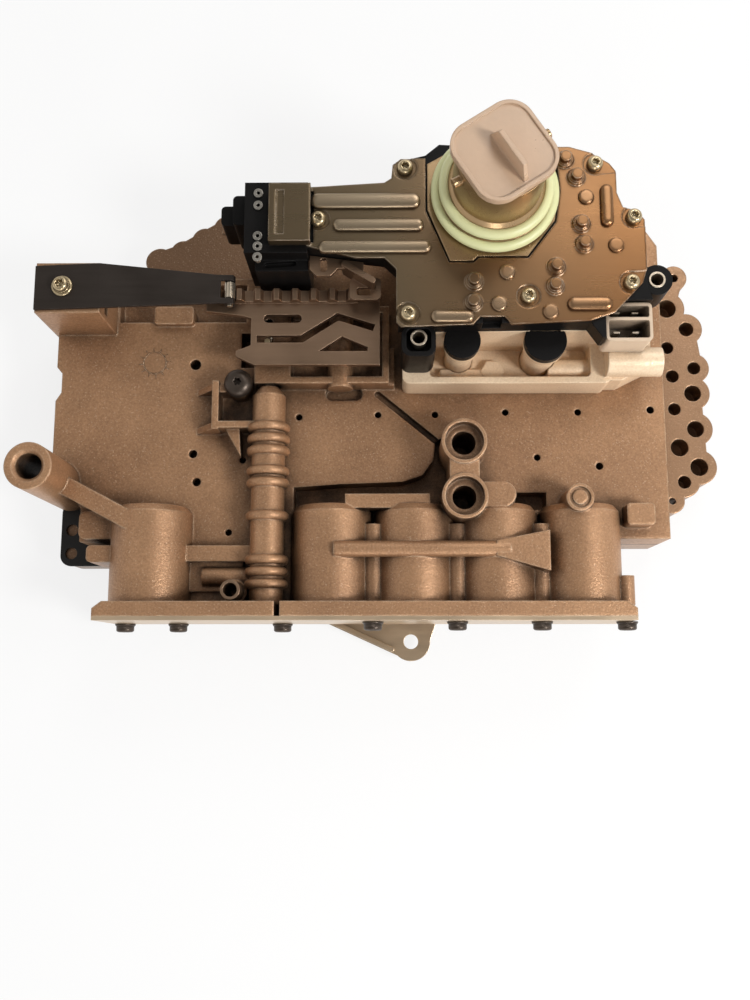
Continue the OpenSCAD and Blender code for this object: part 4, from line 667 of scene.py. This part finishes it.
def lobed_screw(work, style, low, high):
    """A screw with a rounded head and a six-lobed socket, filling a box."""
    head = style.head_height * MM
    socket = style.socket_radius * MM
    shank = style.shank_radius * MM
    wide = (high.x - low.x) / 2.0
    radius = wide - style.inset * MM
    seat = (low + high) / 2.0
    if style.forward:
        turn = Matrix.Rotation(math.radians(90.0), 3, "X")
        seat.y = low.y + head
        reach = high.y - seat.y
    else:
        turn = None
        seat.z = high.z - head
        reach = seat.z - low.z
    skirt = head * (1.0 - style.dome)
    rim = socket * 1.3
    floor = head * 0.42

    # Radius, height and swell of each ring, from the tip to the bottom of the socket
    rings = [(shank * 0.8, -reach, 0.0), (shank, shank * 0.4 - reach, 0.0), (shank, 0.0, 0.0)]
    if style.inset > 0.0:
        rings += [(wide, 0.0, 0.0), (wide, head * 0.14, 0.0), (radius * 1.04, head * 0.3, 0.0)]
    else:
        rings.append((radius * 0.97, 0.0, 0.0))
    rings += [(radius, skirt * 0.35, 0.0), (radius, skirt, 0.0)]
    for step in range(1, DOME_STEPS):
        angle = math.radians(90.0 * step / DOME_STEPS)
        rise = head * style.dome * math.sin(angle)
        rings.append((rim + (radius - rim) * math.cos(angle), skirt + rise, 0.0))
    rings += [(rim, head, 0.0), (socket * 1.04, head * 0.985, 0.13), (socket, head * 0.93, 0.15),
              (socket, floor, 0.15), (socket * 0.5, floor - socket * 0.2, 0.0)]
    skin_loops(work, [ring_loop(work, seat, size, height, turn, swell) for size, height, swell in rings])


def pressing(work, start, end, level_z, reach, height, fullness):
    """A rounded pressing with round ends on a flat sheet; more fullness flattens its top."""
    along = (end - start).normalized() if end != start else Vector((1.0, 0.0))
    across = Vector((-along.y, along.x))
    loops = []
    for step in range(PRESSING_RINGS):
        share = 1.0 - step / (PRESSING_RINGS - 0.5)
        rise = height * (1.0 - share ** fullness) ** (1.0 / fullness)
        loop = []
        for centre, sign in ((end, 1.0), (start, -1.0)):
            for k in range(PRESSING_ARC + 1):
                angle = math.radians(180.0 * k / PRESSING_ARC - 90.0)
                spoke = along * math.cos(angle) + across * math.sin(angle)
                place = centre + spoke * (sign * share * reach)
                loop.append(work.verts.new((place.x, place.y, level_z + rise)))
        loops.append(loop)
    skin_loops(work, loops)


def coil(work, low, high, wire, turns):
    """A wire coil along Y with a closed turn at each end, filling a box."""
    centre = (low + high) / 2.0
    reach = (high.x - low.x) / 2.0 - wire
    free = high.y - low.y - 6.0 * wire
    steps = int(turns * TURN_STEPS)
    loops = []
    for k in range(steps + 1):
        turn = turns * k / steps
        closed_turns = min(turn, 1.0) + max(turn - turns + 1.0, 0.0)
        open_share = min(max((turn - 1.0) / (turns - 2.0), 0.0), 1.0)
        axis = Vector((centre.x, low.y + wire + 2.0 * wire * closed_turns + free * open_share, centre.z))
        angle = 2.0 * math.pi * turn
        out = Vector((math.cos(angle), 0.0, math.sin(angle)))
        loop = []
        for i in range(WIRE_STEPS):
            around = 2.0 * math.pi * i / WIRE_STEPS
            rise = Vector((0.0, wire * math.sin(around), 0.0))
            loop.append(work.verts.new(axis + out * (reach + wire * math.cos(around)) + rise))
        loops.append(loop)
    skin_loops(work, loops)


def coil_spring(node, wire, turns, material):
    """A coil in place of a spring solid; it moves with the base."""
    low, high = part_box(node)
    work = bmesh.new()
    coil(work, low, high, wire, turns)
    piece = add_piece(f"{node}_coil", work, material)
    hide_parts(node)
    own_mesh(piece)


# Operators

# Plain cast ring on the deck, in millimetres: radius and height around the ring,
# distance and half width along a ray, side and height across a ray
CLOCK_RING = ((4.75, -0.15), (4.9, 0.18), (5.15, 0.26), (5.4, 0.18), (5.55, -0.15))
CLOCK_RAY = ((5.2, 0.32), (6.4, 0.3), (7.3, 0.16))
CLOCK_RAY_SECTION = ((-1.0, -0.15), (-0.5, 0.2), (0.5, 0.2), (1.0, -0.15))
CLOCK_RAYS = 12
CLOCK_TURN = 6.0


class VALVEBODY_OT_castings(bpy.types.Operator):
    """Finish the main casting and the plates under it"""
    bl_idname = "valvebody.castings"
    bl_label = "Castings and plates"

    def execute(self, context):
        cast = context.scene.valvebody_casting
        steel = context.scene.valvebody_steel
        # The strong edge share paints highlights; the plate's warm right side is painted light.
        body = cast_finish("Cast alloy", cast.body_dark, cast.body_light, cast, wear_and_highlight=0.85)
        plate = cast_finish("Plate alloy", toned(cast.plate_left, 0.75), cast.plate_left, cast,
                            metallic=0.65, rough=(0.28, 0.42), grime_and_shade=0.6, wear_and_highlight=0.9, soft=0.0009,
                            painted_light=cast.plate_lit_right)
        coated = steel_finish("Coated sheet", steel.coated, rough=(0.35, 0.55), metallic=0.4, wear_and_highlight=0.5)
        dress(body, "valve_body")
        dress(plate, "transfer_plate")
        dress(coated, "separator_plate")
        self.casting_clock(cast.clock_at, body)
        return {"FINISHED"}

    def casting_clock(self, place, material):
        """A plain raised ring with short rays, as moulds leave on a deck."""
        work = bmesh.new()
        ring = [ring_loop(work, place, radius * MM, height * MM) for radius, height in CLOCK_RING]
        skin_loops(work, [*ring, ring[0]], capped=False)
        for k in range(CLOCK_RAYS):
            turn = Matrix.Rotation(math.radians(360.0 / CLOCK_RAYS * k + CLOCK_TURN), 3, "Z")
            rows = []
            for along, half in CLOCK_RAY:
                corners = [Vector((along, side * half, height)) * MM for side, height in CLOCK_RAY_SECTION]
                rows.append([work.verts.new(Vector(place) + turn @ corner) for corner in corners])
            skin_loops(work, rows)
        add_piece("casting_clock", work, material)


class VALVEBODY_OT_accumulators(bpy.types.Operator):
    """Finish the accumulator pistons, seals, springs, front cover and check balls"""
    bl_idname = "valvebody.accumulators"
    bl_label = "Accumulators"

    def execute(self, context):
        steel = context.scene.valvebody_steel
        turned = steel_finish("Turned steel", steel.bright)
        wire = steel_finish("Spring wire", steel.wire)
        rubber = plastic_finish("Black rubber", steel.rubber, rough=(0.45, 0.6))
        for number in range(1, 6):
            dress(turned, f"accumulator_piston_{number}")
            dress(rubber, f"piston_seal_{number}")
            coil_spring(f"accumulator_spring_{number}", wire=1.3 * MM, turns=5.5,
                        material=wire)
        sheet = steel_finish("Front cover sheet", steel.front_cover, stretch=(25.0, 600.0, 600.0),
                             metallic=0.7)
        dress(sheet, "accumulator_cover")
        dress(turned, "check_balls")
        return {"FINISHED"}


class VALVEBODY_OT_spools(bpy.types.Operator):
    """Finish the spools, springs and plug of the ribbed bore"""
    bl_idname = "valvebody.spools"
    bl_label = "Spools"

    def execute(self, context):
        steel = context.scene.valvebody_steel
        turned = steel_finish("Ground spool", steel.bright, stretch=(900.0, 60.0, 900.0), rough=(0.16, 0.3))
        wire = steel_finish("Valve spring wire", steel.wire)
        dress(turned, "switch_valve", "reverse_valve", "bore_plug")
        for valve in ("switch_valve", "reverse_valve"):
            coil_spring(f"{valve}_spring", wire=0.5 * MM, turns=6.0, material=wire)
        return {"FINISHED"}


class VALVEBODY_OT_selector(bpy.types.Operator):
    """Finish the selector plate, the link pin and the manual valve"""
    bl_idname = "valvebody.selector"
    bl_label = "Selector"

    def execute(self, context):
        steel = context.scene.valvebody_steel
        # The bright edges are painted highlights as well as rubbed metal.
        plate = steel_finish("Selector steel", steel.selector, stretch=(50.0, 500.0, 500.0),
                             rough=(0.26, 0.42), wear_and_highlight=0.85, wear_and_highlight_radius=0.001)
        turned = steel_finish("Manual valve steel", steel.bright, stretch=(900.0, 60.0, 60.0),
                              rough=(0.14, 0.28))
        dress(plate, "selector_plate")
        dress(turned, "manual_valve")
        dress(steel_finish("Link pin", steel.zinc), "link_pin")
        return {"FINISHED"}


class VALVEBODY_OT_detent(bpy.types.Operator):
    """Finish the leaf spring, the roller and its pin"""
    bl_idname = "valvebody.detent"
    bl_label = "Detent"

    def execute(self, context):
        steel = context.scene.valvebody_steel
        leaf = steel_finish("Leaf steel", steel.leaf, stretch=(30.0, 500.0, 500.0), rough=(0.34, 0.5),
                            metallic=0.7, wear_and_highlight=0.6)
        turned = steel_finish("Roller steel", steel.bright, rough=(0.18, 0.3))
        dress(leaf, "detent_spring")
        dress(turned, "detent_roller", "roller_pin")
        return {"FINISHED"}


class VALVEBODY_OT_bracket(bpy.types.Operator):
    """Finish the sheet brackets and the hollow sleeve"""
    bl_idname = "valvebody.bracket"
    bl_label = "Brackets and sleeve"

    def execute(self, context):
        steel = context.scene.valvebody_steel
        sheet = steel_finish("Bracket sheet", steel.front_cover, stretch=(60.0, 400.0, 400.0), wear_and_highlight=0.55)
        dress(sheet, "support_bracket")
        dress(steel_finish("Sleeve steel", steel.selector, rough=(0.3, 0.45)), "alignment_sleeve")
        dress(steel_finish("Guide sheet", steel.selector, wear_and_highlight=0.6), "guide_bracket")
        return {"FINISHED"}


# Share of a collar's height that is pale
COLLAR_PALE = 0.42
# Pressings of the cover, in millimetres: ends and width of the long ones, centres of the round ones
LONG_PRESSINGS = (
    ((-20.0, 88.4), (20.0, 88.4), 5.4), ((-11.0, 77.6), (22.0, 77.6), 4.0),
    ((-17.0, 67.8), (25.0, 67.8), 4.0), ((102.0, 79.4), (102.0, 92.6), 4.0),
    ((87.0, 42.6), (100.0, 42.6), 4.4), ((30.0, 37.2), (42.6, 37.2), 4.0),
)
ROUND_PRESSINGS = ((93.5, 90.0), (105.4, 68.4), (59.4, 56.6), (55.7, 42.8), (77.1, 39.3))
ROUND_WIDTH = 6.0
LONG_HEIGHT = 1.7 * 1.3
ROUND_HEIGHT = 1.02 * 1.12
LONG_FLARE = 0.8
ROUND_FLARE = 0.4
LONG_FULLNESS = 3.0
ROUND_FULLNESS = 6.0
COVER_SHEET = 1.4


class VALVEBODY_OT_pack(bpy.types.Operator):
    """Finish the solenoid housing, cans, carrier, cover and sensor"""
    bl_idname = "valvebody.pack"
    bl_label = "Solenoid pack"

    def execute(self, context):
        cast = context.scene.valvebody_casting
        pack = context.scene.valvebody_pack
        steel = context.scene.valvebody_steel
        housing = cast_finish("Pale housing", pack.housing_dark, pack.housing_light, cast, metallic=0.2,
                              rough=(0.32, 0.46), grime_and_shade=0.12, soft=0.001)
        black = plastic_finish("Black moulding", pack.plastic, rough=(0.36, 0.5), shine=0.15)
        low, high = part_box("can_collars")
        pale_top = low.z + (high.z - low.z) * COLLAR_PALE
        collar = plastic_finish("Collar moulding", pack.plastic, rough=(0.36, 0.5), shine=0.15,
                                below=(pack.housing_dark, pale_top))
        turned = steel_finish("Bushing steel", steel.bright, stretch=(60.0, 60.0, 900.0))
        eyelet = steel_finish("Eyelet steel", steel.eyelet, stretch=(300.0, 300.0, 300.0))
        dress(housing, "solenoid_housing", "solenoid_cans")
        dress(black, "solenoid_carrier", "range_sensor")
        dress(collar, "can_collars")
        dress(turned, "pack_bushings", "terminal_blades")
        dress(eyelet, "sensor_eyelets")
        # Painted shade: the socket's cells are fully darkened inside.
        dress(plastic_finish("Pale moulding", pack.frame_tone, grime_and_shade=1.0), "terminal_frame")
        # Painted reflection across the cover sheet; the lighter pressings are painted highlights.
        dress(cover_finish("Cover sheet", pack.cover_left, pack.cover_lit_right), "solenoid_cover")
        self.cover_pressings(cover_finish("Pressed sheet", pack.pressing_highlight_left, pack.pressing_highlight_right))
        return {"FINISHED"}

    def cover_pressings(self, material):
        """Rounded pressings over the flat-topped ones of the solid."""
        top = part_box("solenoid_cover")[0].z + COVER_SHEET * MM
        work = bmesh.new()
        for start, end, width in LONG_PRESSINGS:
            pressing(work, Vector(start) * MM, Vector(end) * MM, top, (width / 2.0 + LONG_FLARE) * MM,
                     LONG_HEIGHT * MM, LONG_FULLNESS)
        for centre in ROUND_PRESSINGS:
            place = Vector(centre) * MM
            pressing(work, place, place, top, (ROUND_WIDTH / 2.0 + ROUND_FLARE) * MM,
                     ROUND_HEIGHT * MM, ROUND_FULLNESS)
        add_piece("cover_pressings", work, material)


class VALVEBODY_OT_connector(bpy.types.Operator):
    """Finish the round connector, its pins, seals and dust cap"""
    bl_idname = "valvebody.connector"
    bl_label = "Connector"

    def execute(self, context):
        pack = context.scene.valvebody_pack
        steel = context.scene.valvebody_steel
        # Painted shade in the shell's corners.
        bronze = plastic_finish("Connector bronze", pack.shell, rough=(0.24, 0.36), metallic=0.85, grime_and_shade=0.5)
        seal = plastic_finish("Seal rubber", pack.seal, rough=(0.32, 0.46), grain=0.003)
        dress(bronze, "connector_shell")
        dress(steel_finish("Pin plating", steel.pins), "connector_pins")
        dress(seal, "lower_seal", "upper_seal")
        dress(milky_finish("Milky cap", pack.cap), "dust_cap")
        return {"FINISHED"}


# Plating and style of each node's screws
SCREWS = {
    "pack_screws": ("zinc", ScrewStyle(3.0, 1.4, 1.9, dome=0.7)),
    "detent_screw": ("zinc", ScrewStyle(4.0, 1.7, 2.5, dome=0.45, inset=1.2)),
    "guide_screw": ("dark", ScrewStyle(4.5, 1.6, 2.5, dome=0.8)),
    "cover_screws": ("dark", ScrewStyle(3.8, 2.0, 2.1, dome=0.25, inset=0.6, forward=True)),
    "bracket_screws": ("dark", ScrewStyle(2.0, 1.2, 1.6, dome=0.5, forward=True)),
}


class VALVEBODY_OT_fasteners(bpy.types.Operator):
    """Make screws with lobed sockets in place of the plain ones"""
    bl_idname = "valvebody.fasteners"
    bl_label = "Screws"

    def execute(self, context):
        steel = context.scene.valvebody_steel
        even = (300.0, 300.0, 300.0)
        finishes = {
            "zinc": steel_finish("Zinc plating", steel.zinc, stretch=even, rough=(0.2, 0.34)),
            "dark": steel_finish("Black oxide", steel.dark, stretch=even, rough=(0.3, 0.5), metallic=0.7),
        }
        for node, (plating, style) in SCREWS.items():
            work = bmesh.new()
            for low, high in solid_boxes(node):
                lobed_screw(work, style, low, high)
            piece = add_piece(f"{node}_lobed", work, finishes[plating])
            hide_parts(node)
        dress(finishes["zinc"], "plate_screws")
        return {"FINISHED"}


# Place and size of each lamp, and the setting that holds its power
LAMPS = {
    "Key lamp": ((0.68, -0.36, 0.8), 0.3, "key_power"),
    "Fill lamp": ((-0.75, 0.1, 0.85), 0.9, "fill_power"),
    "Back lamp": ((0.34, 0.72, 0.85), 0.6, "rim_power"),
    "Front lamp": ((0.1, -1.15, 0.42), 0.35, "front_power"),
}
LAMP_AIM = Vector((0.0, 0.0, 0.03))
FLOOR_SIDE = 6.0
FLOOR_DROP = 0.2 * MM
FLOOR_ROUGH = 0.8
FLOOR_GLOW = 0.8
SENSOR_WIDTH = 36.0
NEAR_CLIP = 0.01


class VALVEBODY_OT_stage(bpy.types.Operator):
    """Set the floor, lamps, world and camera"""
    bl_idname = "valvebody.stage"
    bl_label = "Stage"

    def execute(self, context):
        stage = context.scene.valvebody_stage
        self.floor(context, stage)
        for name, (place, size, setting) in LAMPS.items():
            self.lamp(context, name, place, size, getattr(stage, setting))
        self.world(context, stage)
        self.camera(context, stage)
        context.scene.view_settings.view_transform = "Standard"
        return {"FINISHED"}

    def floor(self, context, stage):
        """A pale floor that glows a little where it is seen, and keeps the shadow."""
        mesh = bpy.data.meshes.new("floor")
        corners = [(x * FLOOR_SIDE, y * FLOOR_SIDE, 0) for x, y in ((-1, -1), (1, -1), (1, 1), (-1, 1))]
        mesh.from_pydata(corners, [], [(0, 1, 2, 3)])
        floor = bpy.data.objects.new("floor", mesh)
        context.scene.collection.objects.link(floor)
        floor.location.z = CAD_BOX[0].z - FLOOR_DROP
        material, tree, shader = new_material("Pale floor")
        shader.inputs["Base Color"].default_value = (*stage.floor_tone, 1.0)
        shader.inputs["Roughness"].default_value = FLOOR_ROUGH
        glow = tree.nodes.new("ShaderNodeEmission")
        mixer = tree.nodes.new("ShaderNodeMixShader")
        path = tree.nodes.new("ShaderNodeLightPath")
        seen = math_node(tree, "MAXIMUM", path.outputs["Is Camera Ray"], path.outputs["Is Glossy Ray"])
        seen = math_node(tree, "MAXIMUM", seen, path.outputs["Is Transmission Ray"])
        tree.links.new(scaled(tree, seen, FLOOR_GLOW), mixer.inputs["Fac"])
        tree.links.new(shader.outputs["BSDF"], mixer.inputs[1])
        tree.links.new(glow.outputs["Emission"], mixer.inputs[2])
        tree.links.new(mixer.outputs["Shader"], tree.nodes["Material Output"].inputs["Surface"])
        mesh.materials.append(material)

    def lamp(self, context, name, place, size, watts):
        """A round area lamp, aimed at the part."""
        light = bpy.data.lights.new(name, "AREA")
        light.shape = "DISK"
        light.size = size
        light.energy = watts
        lamp = bpy.data.objects.new(name, light)
        lamp.location = place
        lamp.rotation_euler = (LAMP_AIM - Vector(place)).to_track_quat("-Z", "Y").to_euler()
        context.scene.collection.objects.link(lamp)

    def world(self, context, stage):
        """A white backdrop that is bright near the floor and dimmer overhead."""
        world = bpy.data.worlds.new("Studio")
        context.scene.world = world
        world.use_nodes = True
        tree = world.node_tree
        back = tree.nodes["Background"]
        back.inputs["Color"].default_value = (1.0, 1.0, 1.0, 1.0)
        split = tree.nodes.new("ShaderNodeSeparateXYZ")
        tree.links.new(tree.nodes.new("ShaderNodeTexCoord").outputs["Generated"], split.inputs[0])
        strength = spread(tree, split.outputs["Z"], low=0.2, high=0.6,
                          to_low=stage.sky_low, to_high=stage.sky_high)
        tree.links.new(strength, back.inputs["Strength"])

    def camera(self, context, stage):
        """The camera, high over the part."""
        camera = bpy.data.objects.new("Camera", bpy.data.cameras.new("Camera"))
        camera.data.lens = stage.lens
        camera.data.sensor_width = SENSOR_WIDTH
        camera.data.clip_start = NEAR_CLIP
        camera.location = stage.camera_at
        camera.rotation_euler = stage.camera_turn
        context.scene.collection.objects.link(camera)
        context.scene.camera = camera


OPERATORS = (
    VALVEBODY_OT_castings, VALVEBODY_OT_accumulators, VALVEBODY_OT_spools, VALVEBODY_OT_selector,
    VALVEBODY_OT_detent, VALVEBODY_OT_bracket, VALVEBODY_OT_pack, VALVEBODY_OT_connector,
    VALVEBODY_OT_fasteners, VALVEBODY_OT_stage,
)
SETTINGS = {
    "casting": CastingSettings, "pack": PackSettings, "steel": SteelSettings, "stage": StageSettings,
}


class VALVEBODY_PT_sidebar(bpy.types.Panel):
    """Lists the steps that dress the valve body, and their settings"""
    bl_idname = "VALVEBODY_PT_sidebar"
    bl_label = "Valve body"
    bl_space_type = "VIEW_3D"
    bl_region_type = "UI"
    bl_category = "Valve body"

    def draw(self, context):
        for operator in OPERATORS:
            self.layout.operator(operator.bl_idname, text=operator.bl_label)
        for settings in SETTINGS:
            group = getattr(context.scene, f"valvebody_{settings}")
            box = self.layout.box()
            for label in group.bl_rna.properties.keys():
                if label not in {"rna_type", "name"}:
                    box.prop(group, label)


def register():
    for cls in (*SETTINGS.values(), *OPERATORS, VALVEBODY_PT_sidebar):
        bpy.utils.register_class(cls)
    for label, cls in SETTINGS.items():
        setattr(bpy.types.Scene, f"valvebody_{label}", PointerProperty(type=cls))


def unregister():
    for label in SETTINGS:
        delattr(bpy.types.Scene, f"valvebody_{label}")
    for cls in (VALVEBODY_PT_sidebar, *reversed(OPERATORS), *reversed(tuple(SETTINGS.values()))):
        bpy.utils.unregister_class(cls)


def main():
    register()
    for operator in OPERATORS:
        area, _, step = operator.bl_idname.partition(".")
        getattr(getattr(bpy.ops, area), step)()


if __name__ == "__main__":
    main()
